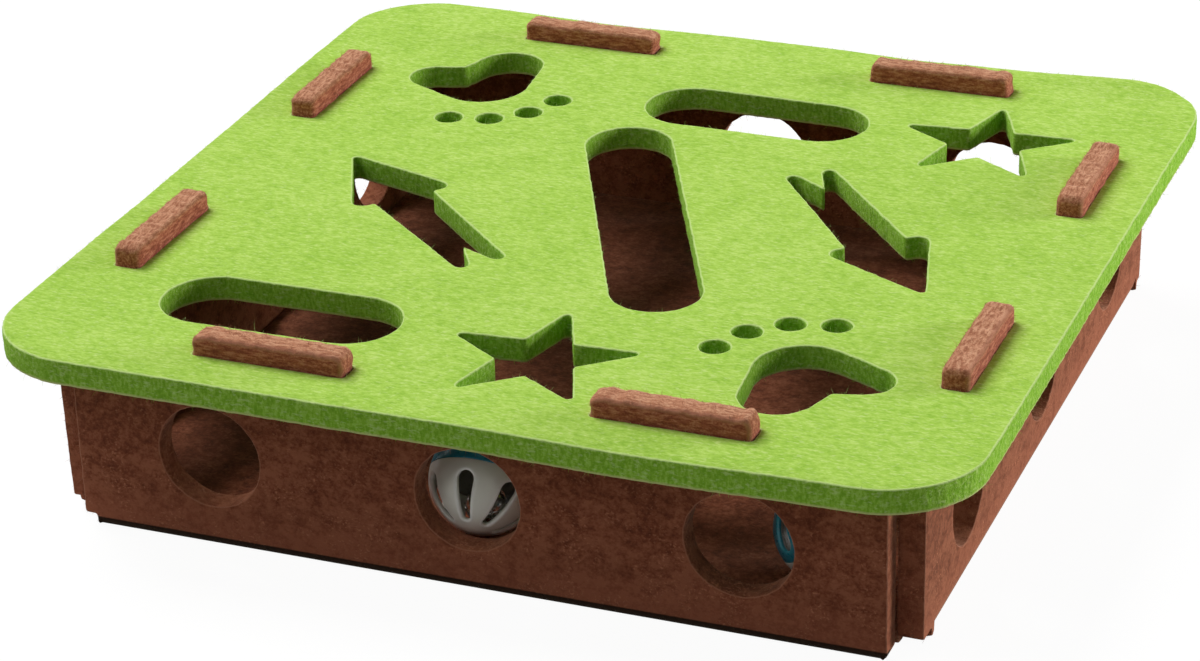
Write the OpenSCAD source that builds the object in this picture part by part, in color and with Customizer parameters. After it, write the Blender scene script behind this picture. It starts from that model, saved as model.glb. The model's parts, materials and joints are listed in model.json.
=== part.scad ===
// Felt hide-and-seek box for cats: a brown tray folded up from a cross-shaped felt blank,
// a green felt lid that the wall tabs hold, and two slotted bell balls loose inside.
// Millimetres, +Z up, origin at the middle of the tray's underside, front wall towards -Y.

/* [Lid] */
// Side of the square lid
lid_side = 300; // [292:1:360]
// Thickness of the lid's felt
lid_t = 8; // [5:0.5:12]
// Radius of the lid's four corners
lid_corner_r = 30; // [10:1:40]
// How far the lid stands out past the walls
lid_overhang = 16.5; // [8:0.5:20]

/* [Tray] */
// Thickness of the tray's floor
floor_t = 8; // [5:0.5:12]
// Thickness of the four walls
wall_t = 8; // [5:0.5:10]
// Height of the wall shoulders that carry the lid
wall_h = 55; // [52:1:80]
// Outer radius of the fold between floor and wall
fold_r = 2.5; // [2:0.5:5]
// Length cut away from each end of a fold so that the corners fold freely
fold_relief = 3; // [2:0.5:8]
// Gap left at each wall end where two walls meet
corner_gap = 0.4; // [0.2:0.1:2]

/* [Tabs] */
// Length of a tab
tab_len = 48; // [30:1:60]
// Distance between the middles of a wall's two tabs
tab_pitch = 124.5; // [80:0.5:140]
// How far a tab stands up above the lid
tab_proud = 5.5; // [3:0.5:12]
// Radius of a tab's upper corners
tab_corner_r = 3; // [1:0.5:8]
// Gap between a tab and its slot in the lid, all round
tab_clear = 0.4; // [0.3:0.1:1]

/* [Wall holes] */
// Diameter of the round holes
hole_d = 32.5; // [20:0.5:36]
// Distance between neighbouring holes
hole_pitch = 82; // [50:1:90]
// Height of the hole middles
hole_z = 29.5; // [27:0.5:32]

/* [Lid slots] */
// Length of the slanting middle slot
long_slot_len = 140; // [90:1:160]
// Width of the slanting middle slot
long_slot_w = 28; // [16:1:32]
// Lean of the middle slot away from front-to-back
long_slot_lean = 25; // [0:1:30]
// Length of the two cross slots
cross_slot_len = 76; // [50:1:84]
// Width of the two cross slots
cross_slot_w = 31; // [20:1:34]

/* [Stars] */
// Radius of a star at its tips
star_r = 28.8; // [20:0.2:32]
// Radius of the circle that a star's arms spread from
star_core_r = 10; // [7:0.5:12]
// Rounding of a star's tips
star_tip_r = 1.2; // [0.8:0.1:2]
// Turn of the stars
star_turn = 4; // [0:1:36]

/* [Paws] */
// Radius of the round front of a paw's pad
pad_r = 15; // [11:0.5:17]
// Radius of the pad's wide heel lobe
heel_wide_r = 11.2; // [9:0.1:12]
// Radius of the pad's narrow heel lobe
heel_narrow_r = 8.6; // [6:0.1:10]
// Distance of the heel lobes from the middle of the pad
heel_reach = 18.5; // [14:0.5:20]
// Angle of each heel lobe from the paw's own axis
heel_angle = 46; // [38:1:55]
// Radius of the toe holes
toe_r = 4.6; // [3:0.1:5.5]
// Distance of the toes from the middle of the pad
toe_reach = 29.7; // [26:0.1:32]
// Angle between neighbouring toes
toe_step = 26.4; // [23:0.2:30]

/* [Arrows] */
// Length of an arrow from tail to tip
arrow_len = 94.5; // [80:0.5:104]
// Length of an arrow's head
arrow_head_len = 37.5; // [28:0.5:44]
// Width of an arrow's head
arrow_head_w = 32; // [26:0.5:36]
// Width of an arrow's shaft where it meets the head
arrow_shaft_w = 20; // [16:0.5:21]
// Width of an arrow's tail
arrow_tail_w = 16.6; // [14:0.2:20]
// Depth of the notch in an arrow's tail
arrow_notch = 14; // [8:0.5:18]

/* [Balls] */
// Outer diameter of a ball
ball_d = 33; // [32:0.5:40]
// Thickness of a ball's shell
shell_t = 1.6; // [1.2:0.1:2]
// Number of slots round each half of a ball
ball_slots = 7; // [4:1:8]
// Radius of a ball slot at its wide end
slot_wide_r = 2.4; // [1.4:0.1:2.6]
// Radius of a ball slot at its narrow end
slot_narrow_r = 1.1; // [0.6:0.1:1.2]
// Angle between a half's pole and the wide ends of its slots
slot_wide_at = 67.5; // [60:0.5:70]
// Angle between a half's pole and the narrow ends of its slots
slot_narrow_at = 27; // [20:0.5:32]
// Height of the lip that snaps the two halves of a ball together
lip_h = 1.6; // [1:0.1:2.5]
// Distance of the first ball from the middle of the front hole that it lies in, to the left
ball_1_left = 3.5; // [0:0.5:8]
// Distance of the second ball's middle from the inside of the right wall
ball_2_inset = 25; // [20:0.5:30]
// Gap between the second ball and the inside of the front wall
ball_2_gap = 2; // [0.5:0.5:12]

/* [Bells] */
// Outer diameter of a jingle bell
bell_d = 13; // [9:0.5:14]
// Thickness of a bell's metal
bell_t = 0.6; // [0.4:0.1:1]
// Width of the slot across a bell's mouth
bell_slot_w = 1.2; // [0.8:0.1:1.6]
// Diameter of the round holes that end a bell's slot
bell_eye_d = 2.6; // [2:0.1:3]
// Diameter of a bell's pellet
pellet_d = 4; // [3:0.5:5]

/* [Hidden] */
$fn = 64;
felt_green = [0.58, 0.79, 0.22];
felt_brown = [0.42, 0.24, 0.17];
ball_white = [0.90, 0.90, 0.86];
ball_blue = [0.10, 0.48, 0.66];
bell_metal = [0.70, 0.70, 0.68];
// How far a cut or a buried foot reaches past the face that it meets
past = 1;
// How far inside a round end the straight sides of a figure start
tuck = 0.02;
// Gap between loose pieces that lie on each other
rest_gap = 0.3;
// Play between the lip of one ball half and the rim of the other
lip_play = 0.1;
tray_out = lid_side / 2 - lid_overhang;
tray_in = tray_out - wall_t;
wall_half = tray_in - corner_gap;
fold_half = wall_half - fold_relief;
tab_h = lid_t + tab_proud;
ball_r = ball_d / 2;
cavity_r = ball_r - shell_t;
ball_z = floor_t + rest_gap + ball_r;
// The first ball has rolled into the middle front hole as far as the hole's lower edge lets it
ball_1_catch = max(0, hole_d / 2 - norm([ball_1_left, hole_z - ball_z]));
ball_1_stand = sqrt(max(0, pow(ball_r + rest_gap, 2) - pow(ball_1_catch, 2)));
ball_1_at = [-ball_1_left, ball_1_stand - tray_in, ball_z];
ball_2_at = [tray_in - ball_2_inset, -(tray_in - ball_2_gap - ball_r), ball_z];
// A ball's spin about its own axis, the lean of its white pole from straight up, and its heading:
// the first ball's white pole points down and to the front, the second one's down and to the right
ball_1_turn = [27.5, 130.5, -87.5];
ball_2_turn = [42, 142, 0];
bell_r = bell_d / 2;
bell_drop = cavity_r - rest_gap - bell_r;
pellet_r = pellet_d / 2;
pellet_drop = bell_r - bell_t - rest_gap - pellet_r;
// Places of the lid's figures, measured in from the inside of the walls
back_left_paw = [-(tray_in - 40.5), tray_in - 42.5];
front_right_paw = [tray_in - 39.5, -(tray_in - 38.5)];
back_right_star = [tray_in - 35.5, tray_in - 39.5];
front_star = [11, -(tray_in - 22)];
back_slot = [11.6, tray_in - 39.5];
front_slot = [-(tray_in - 52.2), -(tray_in - 27.2)];
middle_slot = [4, -1];
// An arrow's place is the middle of its tail
left_arrow = [-29.2, -49.8];
left_arrow_turn = 138.7;
right_arrow = [43.4, 45.4];
right_arrow_turn = -50.8;
paw_axis = -50.4;

// Point at a distance along a direction in degrees
function polar(reach, angle) = reach * [cos(angle), sin(angle)];

// Straight strip between two round ends of any radius, along their outer tangents
module bridge(a, ra, b, rb) {
    along = b - a;
    heading = atan2(along[1], along[0]);
    lean = acos((ra - rb) / norm(along));
    start = ra - tuck;
    end = rb - tuck;
    polygon([
        a + polar(start, heading + lean), a + polar(start, heading - lean),
        b + polar(end, heading - lean), b + polar(end, heading + lean)
    ]);
}

// Slot with two round ends of any radius
module pill(a, ra, b, rb) {
    translate(a)
        circle(r = ra);
    translate(b)
        circle(r = rb);
    bridge(a, ra, b, rb);
}

// Slot of the given overall length and width along X, centred
module obround(length, width) {
    square([length - width, width], center = true);
    for (side = [-1, 1])
        translate([side * (length - width) / 2, 0])
            circle(d = width);
}

module rounded_square(side, r) {
    square([side, side - 2 * r], center = true);
    square([side - 2 * r, side], center = true);
    for (x = [-1, 1], y = [-1, 1])
        translate([x, y] * (side / 2 - r))
            circle(r = r);
}

// Five straight-sided arms that would meet a round core at a tangent
module star() {
    tip = star_r - star_tip_r;
    lean = acos((star_core_r - star_tip_r) / tip);
    valley = star_core_r / cos(lean - 36);
    side = star_tip_r - tuck;
    polygon([
        for (arm = [90:72:378]) each [
            polar(valley, arm - 36),
            polar(tip, arm) + polar(side, arm - lean),
            polar(tip, arm) + polar(side, arm + lean)
        ]
    ]);
    for (arm = [90:72:378])
        translate(polar(tip, arm))
            circle(r = star_tip_r);
}

// Pad with two heel lobes, and four toes on an arc round the pad's middle, toes towards +X
module paw() {
    circle(r = pad_r);
    for (heel = [[180 - heel_angle, heel_wide_r], [180 + heel_angle, heel_narrow_r]]) {
        translate(polar(heel_reach, heel[0]))
            circle(r = heel[1]);
        bridge([0, 0], pad_r, polar(heel_reach, heel[0]), heel[1]);
    }
    for (toe = [-1.5:1:1.5])
        translate(polar(toe_reach, toe * toe_step))
            circle(r = toe_r);
}

// Arrow along +X from the middle of its notched tail, with blunt barbs
module arrow() {
    tip_r = 1.2;
    barb_r = 3.3;
    prong_r = 2.2;
    neck = arrow_len - arrow_head_len;
    barb = [neck + barb_r, arrow_head_w / 2 - barb_r];
    prong = [prong_r, arrow_tail_w / 2 - prong_r];
    // The prongs thicken inwards until they meet where the notch ends
    root = [arrow_notch * 1.4, arrow_notch * 0.25];
    root_r = arrow_tail_w / 2 - root[1] + 0.4;
    tip = [arrow_len - tip_r, 0];
    translate(tip)
        circle(r = tip_r);
    for (side = [1, -1]) {
        translate([barb[0], side * barb[1]])
            circle(r = barb_r);
        bridge([barb[0], side * barb[1]], barb_r, tip, tip_r);
        pill([prong[0], side * prong[1]], prong_r, [root[0], side * root[1]], root_r);
    }
    // The back of the head runs straight between the barbs
    translate([neck, -barb[1]])
        square([2 * barb_r, 2 * barb[1]]);
    polygon([tip, barb, [barb[0], -barb[1]]]);
    polygon([
        [root[0], root[1] + root_r - tuck], [root[0], tuck - root[1] - root_r],
        [neck + barb_r, -arrow_shaft_w / 2], [neck + barb_r, arrow_shaft_w / 2]
    ]);
}

module lid_figures() {
    translate(middle_slot)
        rotate(90 + long_slot_lean)
            obround(long_slot_len, long_slot_w);
    for (at = [back_slot, front_slot])
        translate(at)
            obround(cross_slot_len, cross_slot_w);
    for (at = [back_right_star, front_star])
        translate(at)
            rotate(star_turn)
                star();
    translate(back_left_paw)
        rotate(paw_axis)
            paw();
    translate(front_right_paw)
        rotate(paw_axis + 180)
            paw();
    translate(left_arrow)
        rotate(left_arrow_turn)
            arrow();
    translate(right_arrow)
        rotate(right_arrow_turn)
            arrow();
}

module lid() {
    slot = [tab_len + 2 * tab_clear, wall_t + 2 * tab_clear];
    color(felt_green)
        translate([0, 0, wall_h])
            linear_extrude(lid_t)
                difference() {
                    rounded_square(lid_side, lid_corner_r);
                    for (quarter = [0:3], side = [-1, 1])
                        rotate(quarter * 90)
                            translate([side * tab_pitch / 2, -(tray_out - wall_t / 2)])
                                square(slot, center = true);
                    lid_figures();
                }
}

// Square sheet between the fold lines, with its corners cut back beside the folds
module floor_panel() {
    relief = fold_relief + corner_gap;
    color(felt_brown)
        linear_extrude(floor_t)
            difference() {
                square(2 * tray_in, center = true);
                for (x = [-1, 1], y = [-1, 1])
                    translate([x, y] * tray_in)
                        square(2 * relief, center = true);
            }
}

// Tab seen from the front: square at its foot, rounded at its two upper corners
module tab() {
    translate([-tab_len / 2, -past])
        square([tab_len, tab_h - tab_corner_r + past]);
    translate([-tab_len / 2 + tab_corner_r, 0])
        square([tab_len - 2 * tab_corner_r, tab_h]);
    for (side = [-1, 1])
        translate([side * (tab_len / 2 - tab_corner_r), tab_h - tab_corner_r])
            circle(r = tab_corner_r);
}

// Wall flap seen from the front, from the top of its fold up to its tabs
module wall_outline() {
    difference() {
        union() {
            translate([-wall_half, fold_r])
                square([2 * wall_half, wall_h - fold_r]);
            for (side = [-1, 1])
                translate([side * tab_pitch / 2, wall_h])
                    tab();
        }
        for (step = [-1:1])
            translate([step * hole_pitch, hole_z])
                circle(d = hole_d);
    }
}

// Rounded strip that carries the wall's felt round into the floor
module fold_profile() {
    translate([fold_r, 0])
        square([wall_t - fold_r, fold_r]);
    intersection() {
        square(fold_r);
        translate([fold_r, fold_r])
            circle(r = fold_r);
    }
}

// Front wall of the box; the other walls are the same flap turned by quarters
module wall(quarter) {
    color(felt_brown)
        rotate([0, 0, quarter * 90])
            translate([0, -tray_out, 0]) {
                translate([0, wall_t, 0])
                    rotate([90, 0, 0])
                        linear_extrude(wall_t)
                            wall_outline();
                translate([-fold_half, 0, 0])
                    rotate([90, 0, 90])
                        linear_extrude(2 * fold_half)
                            fold_profile();
            }
}

// Tapering slots along the meridians of a ball half, wide towards its rim
module half_slots() {
    slot_middle = (slot_wide_at + slot_narrow_at) / 2;
    reach = ball_r * sin(slot_wide_at - slot_middle);
    for (k = [0:ball_slots - 1])
        rotate([0, slot_middle, k * 360 / ball_slots])
            translate([0, 0, ball_r / 2])
                linear_extrude(ball_r)
                    pill([reach, 0], slot_wide_r, [-reach, 0], slot_narrow_r);
}

// Hollow half ball on the +Z side of its rim
module half_shell() {
    difference() {
        intersection() {
            sphere(r = ball_r);
            translate([0, 0, ball_r])
                cube(2 * ball_r, center = true);
        }
        sphere(r = cavity_r);
        half_slots();
    }
}

// Puts a half in its place, spun about its own axis before its white pole leans over
module turned(at, turn) {
    translate(at)
        rotate([0, turn[1], turn[2]])
            rotate(turn[0])
                children();
}

// White half: its rim is cut back inside to take the other half's lip
module white_half(at, turn) {
    color(ball_white)
        turned(at, turn)
            difference() {
                half_shell();
                translate([0, 0, -past])
                    cylinder(r = ball_r - shell_t / 2, h = lip_h + past);
            }
}

// Blue half: a thin lip stands up from its rim into the white half
module blue_half(at, turn) {
    color(ball_blue)
        turned(at, turn) {
            mirror([0, 0, 1])
                half_shell();
            difference() {
                translate([0, 0, -shell_t / 2])
                    cylinder(r = ball_r - shell_t / 2 - lip_play, h = lip_h - lip_play + shell_t / 2);
                sphere(r = cavity_r);
            }
        }
}

// Round jingle bell, low in its ball, with a slotted mouth and a bead round its seam
module bell(at) {
    bead_r = 0.5;
    color(bell_metal)
        translate(at - [0, 0, bell_drop])
            difference() {
                union() {
                    sphere(r = bell_r - bead_r / 2);
                    rotate_extrude()
                        translate([bell_r - bead_r, 0])
                            circle(r = bead_r);
                }
                sphere(r = bell_r - bead_r / 2 - bell_t);
                translate([0, 0, -bell_r])
                    cube([bell_d, bell_slot_w, bell_d - 2 * bead_r], center = true);
                for (side = [-1, 1])
                    rotate([0, side * 122, 0])
                        cylinder(d = bell_eye_d, h = bell_r + past);
            }
}

module pellet(at) {
    color(bell_metal)
        translate(at - [0, 0, bell_drop + pellet_drop])
            sphere(r = pellet_r);
}

lid();
floor_panel();
wall(0);  // front_wall
wall(1);  // right_wall
wall(2);  // back_wall
wall(3);  // left_wall
white_half(ball_1_at, ball_1_turn);  // ball_1_white_half
blue_half(ball_1_at, ball_1_turn);  // ball_1_blue_half
bell(ball_1_at);  // bell_1
pellet(ball_1_at);  // pellet_1
white_half(ball_2_at, ball_2_turn);  // ball_2_white_half
blue_half(ball_2_at, ball_2_turn);  // ball_2_blue_half
bell(ball_2_at);  // bell_2
pellet(ball_2_at);  // pellet_2
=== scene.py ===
"""Dresses a cat's felt hide-and-seek box: a lime lid, a folded brown tray and two bell balls.

Sizes are millimetres in the object's own frame: +Z up, the origin in the middle of the tray's
underside and the front wall towards -Y. Meshes are written in metres.
"""

import json
import logging
import math
from collections.abc import Callable, Sequence
from dataclasses import dataclass
from enum import Enum
from functools import partial

import bmesh
import bpy
import numpy as np
from mathutils import Matrix
from mathutils.geometry import delaunay_2d_cdt
from numpy.typing import NDArray


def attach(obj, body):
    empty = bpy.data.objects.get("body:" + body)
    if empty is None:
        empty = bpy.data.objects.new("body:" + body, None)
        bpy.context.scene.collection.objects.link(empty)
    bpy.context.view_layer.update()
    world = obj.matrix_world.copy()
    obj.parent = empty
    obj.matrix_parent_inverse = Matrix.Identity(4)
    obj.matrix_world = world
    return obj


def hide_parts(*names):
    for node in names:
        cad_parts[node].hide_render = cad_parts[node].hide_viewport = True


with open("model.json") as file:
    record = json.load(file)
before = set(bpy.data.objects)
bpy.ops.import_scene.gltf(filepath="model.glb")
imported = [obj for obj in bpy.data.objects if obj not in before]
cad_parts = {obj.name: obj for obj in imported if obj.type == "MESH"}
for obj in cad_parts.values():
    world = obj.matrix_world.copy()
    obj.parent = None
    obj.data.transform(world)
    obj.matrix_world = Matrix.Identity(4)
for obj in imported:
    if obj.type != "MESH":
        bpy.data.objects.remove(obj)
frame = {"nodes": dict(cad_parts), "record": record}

Floats = NDArray[np.float64]
Ints = NDArray[np.int64]
Pair = tuple[float, float]
Triple = tuple[float, float, float]
Colour = Triple
Faces = list[list[int]]
Marks = dict[str, Floats]
Skin = tuple[Floats, Faces, Marks]
Material = bpy.types.Material
Piece = bpy.types.Object
Socket = bpy.types.NodeSocket

LOG = logging.getLogger("felt_box")
METRES = 0.001
PHOTO_WIDTH = 1200
FELT_THICKNESS = 8.0
WHITE = (1.0, 1.0, 1.0)


class Side(Enum):
    """Wall of the tray, as the number of quarter turns from the front wall."""

    FRONT = 0
    RIGHT = 1
    BACK = 2
    LEFT = 3


class Half(Enum):
    """Half of a ball, by the direction of its pole along the ball's own axis."""

    WHITE = 1
    BLUE = -1


# Outlines


def bearings(angle: Floats) -> Floats:
    """Gives the unit vectors at angles in radians, anticlockwise from the X axis."""
    return np.stack([np.cos(angle), np.sin(angle)], axis=-1)


def resample(loop: Floats, step: float) -> Floats:
    """Spaces points evenly along a closed loop, by interpolation on its running length.

    Args:
        loop: Corners of the closed loop, one row each.
        step: Distance wanted between neighbours.

    Returns:
        The loop's new points.
    """
    ring = np.vstack([loop, loop[:1]])
    along = np.concatenate([[0.0], np.cumsum(np.hypot(*np.diff(ring, axis=0).T))])
    at = np.linspace(0.0, along[-1], max(12, round(along[-1] / step)), endpoint=False)
    return np.stack([np.interp(at, along, ring[:, k]) for k in (0, 1)], axis=-1)


def belt(rounds: Sequence[Triple], step: float = 0.25) -> Floats:
    """Runs an outline round corner circles, anticlockwise, like a belt round pulleys.

    From circle i to circle j the belt follows the outer tangent, whose normal n keeps
    n . (centre_j - centre_i) = radius_i - radius_j. Each circle adds the arc between its two
    normals, and a radius of 0 is a plain corner.

    Args:
        rounds: (x, y, radius) of each corner circle in order.
        step: Distance between the points of the result.

    Returns:
        The closed outline's points.
    """
    corners = np.asarray(rounds, float)
    centre, radius = corners[:, :2], corners[:, 2]
    run = np.roll(centre, -1, axis=0) - centre
    lean = np.arccos((radius - np.roll(radius, -1)) / np.hypot(run[:, 0], run[:, 1]))
    leave = np.arctan2(run[:, 1], run[:, 0]) - lean
    arrive = np.roll(leave, 1)
    sweep = (leave - arrive) % math.tau
    turns = np.linspace(0.0, 1.0, 48)
    angle = arrive[:, None] + sweep[:, None] * turns
    arcs = centre[:, None] + radius[:, None, None] * bearings(angle)
    kept = [arc if r > 0 else arc[:1] for arc, r in zip(arcs, radius)]
    return resample(np.concatenate(kept), step)


def circle(x: float, y: float, radius: float, step: float = 0.25) -> Floats:
    """Gives the anticlockwise points of a circle."""
    angle = np.arange(0.0, math.tau, step / radius)
    return np.array([x, y]) + radius * bearings(angle)


def rectangle(x: float, y: float, width: float, height: float) -> Floats:
    """Gives the anticlockwise outline of an upright rectangle about its middle."""
    w, h = width / 2, height / 2
    return belt([(x - w, y - h, 0), (x + w, y - h, 0), (x + w, y + h, 0), (x - w, y + h, 0)])


def placed(loop: Floats, at: Pair, turn: float) -> Floats:
    """Turns a loop about the origin by degrees, then moves it.

    Args:
        loop: Points of the loop.
        at: Where its origin goes.
        turn: Degrees anticlockwise.

    Returns:
        The loop in its new place.
    """
    c, s = math.cos(math.radians(turn)), math.sin(math.radians(turn))
    return loop @ np.array([[c, s], [-s, c]]) + np.asarray(at)


def softened(loop: Floats, spread: float, step: float) -> Floats:
    """Rounds a loop's sharp corners as a cutter leaves them in felt.

    The loop, taken as complex numbers, is blurred along its length by a Gaussian: a wave of
    frequency f per millimetre keeps exp(-2 (pi f spread)^2) of its size.

    Args:
        loop: Points of the closed loop.
        spread: Standard deviation of the blur in millimetres.
        step: Distance wanted between the points of the result.

    Returns:
        The rounded loop.
    """
    fine = resample(loop, min(step, spread / 3))
    gap = np.hypot(*(fine[1] - fine[0]))
    frequency = np.fft.fftfreq(len(fine), d=gap)
    waves = np.fft.fft(fine[:, 0] + 1j * fine[:, 1])
    z = np.fft.ifft(waves * np.exp(-2.0 * (math.pi * frequency * spread) ** 2))
    return resample(np.stack([z.real, z.imag], axis=-1), step)


def felt_side(loop: Floats) -> Floats:
    """Gives the unit normals to the left of a loop's direction, where its felt lies.

    Args:
        loop: Points of the closed loop.

    Returns:
        One normal per point.
    """
    tangent = np.roll(loop, -1, axis=0) - np.roll(loop, 1, axis=0)
    tangent /= np.hypot(tangent[:, 0], tangent[:, 1])[:, None]
    return np.stack([-tangent[:, 1], tangent[:, 0]], axis=-1)


# Unevenness


@dataclass(frozen=True)
class Ripple:
    """Smooth random unevenness with a spread of about 1, added up from seeded sine waves.

    Each wave is sin(k . p + phase), its k in a random direction with a wavelength between the
    two lengths. The sum is divided by the square root of half the number of waves.

    Attributes:
        lengths: Shortest and longest wavelength in millimetres.
        waves: Number of waves.
        offset: Number added to the seed, so that the ripples of one board differ.
    """

    lengths: Pair
    waves: int
    offset: int

    def heights(self, points: Floats, seed: int) -> Floats:
        """Gives the unevenness at places.

        Args:
            points: Places, one row each, in any number of dimensions.
            seed: Seed of the random directions and phases.

        Returns:
            One height per place.
        """
        rng = np.random.default_rng(seed + self.offset)
        heading = rng.normal(size=(self.waves, points.shape[-1]))
        heading /= np.linalg.norm(heading, axis=1)[:, None]
        length = np.exp(rng.uniform(*np.log(self.lengths), size=self.waves))
        k = heading * (math.tau / length)[:, None]
        phase = rng.uniform(0.0, math.tau, size=self.waves)
        return np.sin(points @ k.T + phase).sum(axis=-1) / math.sqrt(self.waves / 2)


CUTTER_STRAY = Ripple((2.5, 14.0), 24, 0)
RIM_LUMPS = Ripple((1.6, 5.0), 30, 50)
FACE_GRAIN = Ripple((3.5, 9.0), 40, 30)
WORN_LUMPS = Ripple((5.0, 14.0), 20, 40)
LID_SWELL = Ripple((70.0, 200.0), 12, 0)


# Meshes


def make_piece(
    name: str,
    points: Floats,
    faces: Sequence[Sequence[int]],
    material: Material,
    weld: float = 0.0,
    marks: Marks | None = None,
) -> Piece:
    """Puts points and faces into a smooth-shaded object at the origin.

    Args:
        name: Name of the piece.
        points: Places in millimetres.
        faces: Vertex numbers of each face, anticlockwise from outside.
        material: Finish of the piece.
        weld: Distance in millimetres within which points become one, or 0 for none.
        marks: Named numbers per point that the material reads.

    Returns:
        The new object.
    """
    mesh = bpy.data.meshes.new(name)
    mesh.from_pydata((points * METRES).tolist(), [], faces)
    for mark, values in (marks or {}).items():
        mesh.attributes.new(mark, "FLOAT", "POINT").data.foreach_set("value", values.astype(np.float32))
    if weld:
        work = bmesh.new()
        work.from_mesh(mesh)
        bmesh.ops.remove_doubles(work, verts=work.verts, dist=weld * METRES)
        bmesh.ops.dissolve_degenerate(work, edges=work.edges, dist=1e-8)
        work.to_mesh(mesh)
        work.free()
    mesh.validate()
    mesh.polygons.foreach_set("use_smooth", np.ones(len(mesh.polygons), bool))
    mesh.materials.append(material)
    mesh.update()
    piece = bpy.data.objects.new(name, mesh)
    bpy.context.scene.collection.objects.link(piece)
    return piece


def grid_faces(rows: int, columns: int, round_rows: bool, round_columns: bool, start: int) -> Ints:
    """Joins a grid of points into quads, row by row.

    Args:
        rows: Points along the first parameter.
        columns: Points along the second parameter.
        round_rows: True if the last row joins the first one.
        round_columns: True if the last column joins the first one.
        start: Number of the grid's first point.

    Returns:
        Four vertex numbers per quad.
    """
    i, j = np.meshgrid(
        np.arange(rows if round_rows else rows - 1),
        np.arange(columns if round_columns else columns - 1),
        indexing="ij",
    )
    i2, j2 = (i + 1) % rows, (j + 1) % columns
    corners = [i * columns + j, i * columns + j2, i2 * columns + j2, i2 * columns + j]
    return np.stack(corners, axis=-1).reshape(-1, 4) + start


def enclosed(points: Floats, rings: list[Floats]) -> NDArray[np.bool_]:
    """Tells which points lie in the felt, by counting the edges that a line towards +u crosses.

    Args:
        points: Places in the plane.
        rings: Closed edges of the felt, outer and inner.

    Returns:
        True for each point behind an odd number of edges.
    """
    a = np.concatenate(rings)
    b = np.concatenate([np.roll(ring, -1, axis=0) for ring in rings])
    slope = (b[:, 0] - a[:, 0]) / np.where(b[:, 1] == a[:, 1], 1.0, b[:, 1] - a[:, 1])
    answers = []
    for part in np.array_split(points, max(1, len(points) // 400)):
        y = part[:, 1, None]
        spans = (a[:, 1] > y) != (b[:, 1] > y)
        crossed = spans & (part[:, 0, None] < a[:, 0] + slope * (y - a[:, 1]))
        answers.append(crossed.sum(axis=1) % 2 == 1)
    return np.concatenate(answers)


def nearest(points: Floats, others: Floats) -> Floats:
    """Gives each point's distance from the nearest of the others."""
    gap = points[:, None] - others[None]
    return np.sqrt((gap * gap).sum(axis=-1).min(axis=1))


# Loose fibres and boards of felt


@dataclass(frozen=True)
class Fuzz:
    """Loose fibres that stand out of cut edges.

    Attributes:
        per_mm: Fibres per millimetre of edge.
        worn_more: How many times as many are added where the felt is worn.
        wild: Spread of the directions in which they start.
        bend: Spread of their bends.
        length_law: Shape and scale of the gamma law of their lengths.
        lengths: Shortest and longest length.
        radii: Least and greatest radius at the root.
        taper: Share of that radius that is lost towards the point.
    """

    per_mm: float
    worn_more: float = 3.0
    wild: float = 0.75
    bend: float = 0.35
    length_law: Pair = (3.0, 0.24)
    lengths: Pair = (0.3, 2.4)
    radii: Pair = (0.03, 0.055)
    taper: float = 0.7

    def grow(self, roots: Floats, ways: Floats, rng: np.random.Generator) -> tuple[Floats, Faces]:
        """Makes tapering three-sided fibres, each a bent needle with a closed root and a point.

        A fibre of length L leaves its root along d and bends towards b: p(t) = root + L (t d +
        t^2 b).

        Args:
            roots: Where the fibres start.
            ways: Directions in which they start, of any length.
            rng: Source of the lengths, radii and bends.

        Returns:
            Places and faces, anticlockwise from outside.
        """
        count, share = len(roots), np.array([0.0, 0.4, 0.75])
        lengths = rng.gamma(*self.length_law, count).clip(*self.lengths)
        radii = rng.uniform(*self.radii, count)
        d = ways / np.linalg.norm(ways, axis=1)[:, None]
        bend = rng.normal(0.0, self.bend, (count, 3))
        e = np.cross(d, rng.normal(size=(count, 3)))
        e /= np.linalg.norm(e, axis=1)[:, None]
        f = np.cross(d, e)
        t = np.append(share, 1.0)[:, None]
        spine = roots[:, None] + lengths[:, None, None] * (t * d[:, None] + t * t * bend[:, None])
        angle = math.tau * np.arange(3) / 3
        across = np.cos(angle)[:, None] * e[:, None] + np.sin(angle)[:, None] * f[:, None]
        girth = radii[:, None] * (1.0 - self.taper * share)
        rings = spine[:, :3, None] + girth[..., None, None] * across[:, None]
        points = np.concatenate([rings.reshape(count, 9, 3), spine[:, 3:]], axis=1)
        j, k = np.arange(3), (np.arange(3) + 1) % 3
        sides = np.concatenate([np.stack([j, k, k + 3, j + 3], -1) + 3 * row for row in (0, 1)])
        ends = np.concatenate([np.stack([j + 6, k + 6, 0 * j + 9], -1), [[2, 1, 0]]])
        start = 10 * np.arange(count)[:, None, None]
        faces = (sides + start).reshape(-1, 4).tolist() + (ends + start).reshape(-1, 3).tolist()
        return points.reshape(-1, 3), faces


# Ten points make a cut edge's profile, from the upper face to the lower one. For each: how much
# of a cut it is, how far it belongs to the pale crest, partly a painted highlight, and how its
# fibres point up or down
RIM_CUT = np.array([0.0, 0.5, 1.0, 1.0, 1.0, 1.0, 1.0, 1.0, 0.5, 0.0])
RIM_PALE_CREST_HIGHLIGHT = np.array([0.25, 1.0, 0.7, 0.0, 0.0, 0.0, 0.0, 0.0, 0.0, 0.0])
RIM_LIFT = np.array([0.9, 0.9, 0.6, 0.3, 0.0, -0.3, -0.6, -0.9, -0.9, -0.9])
# Points of the profile that carry fibres, as often as they do
RIM_ROOTS = (1, 1, 2, 4, 5, 7, 8, 8)
# Added to a board's seed for the points on its faces and for its fibres
FACE_SEED = 7
FUZZ_SEED = 90
# Shares of the faces' spacing by which points stray and keep clear of the edges
FACE_JITTER = 0.3
FACE_CLEAR = 0.6


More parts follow.
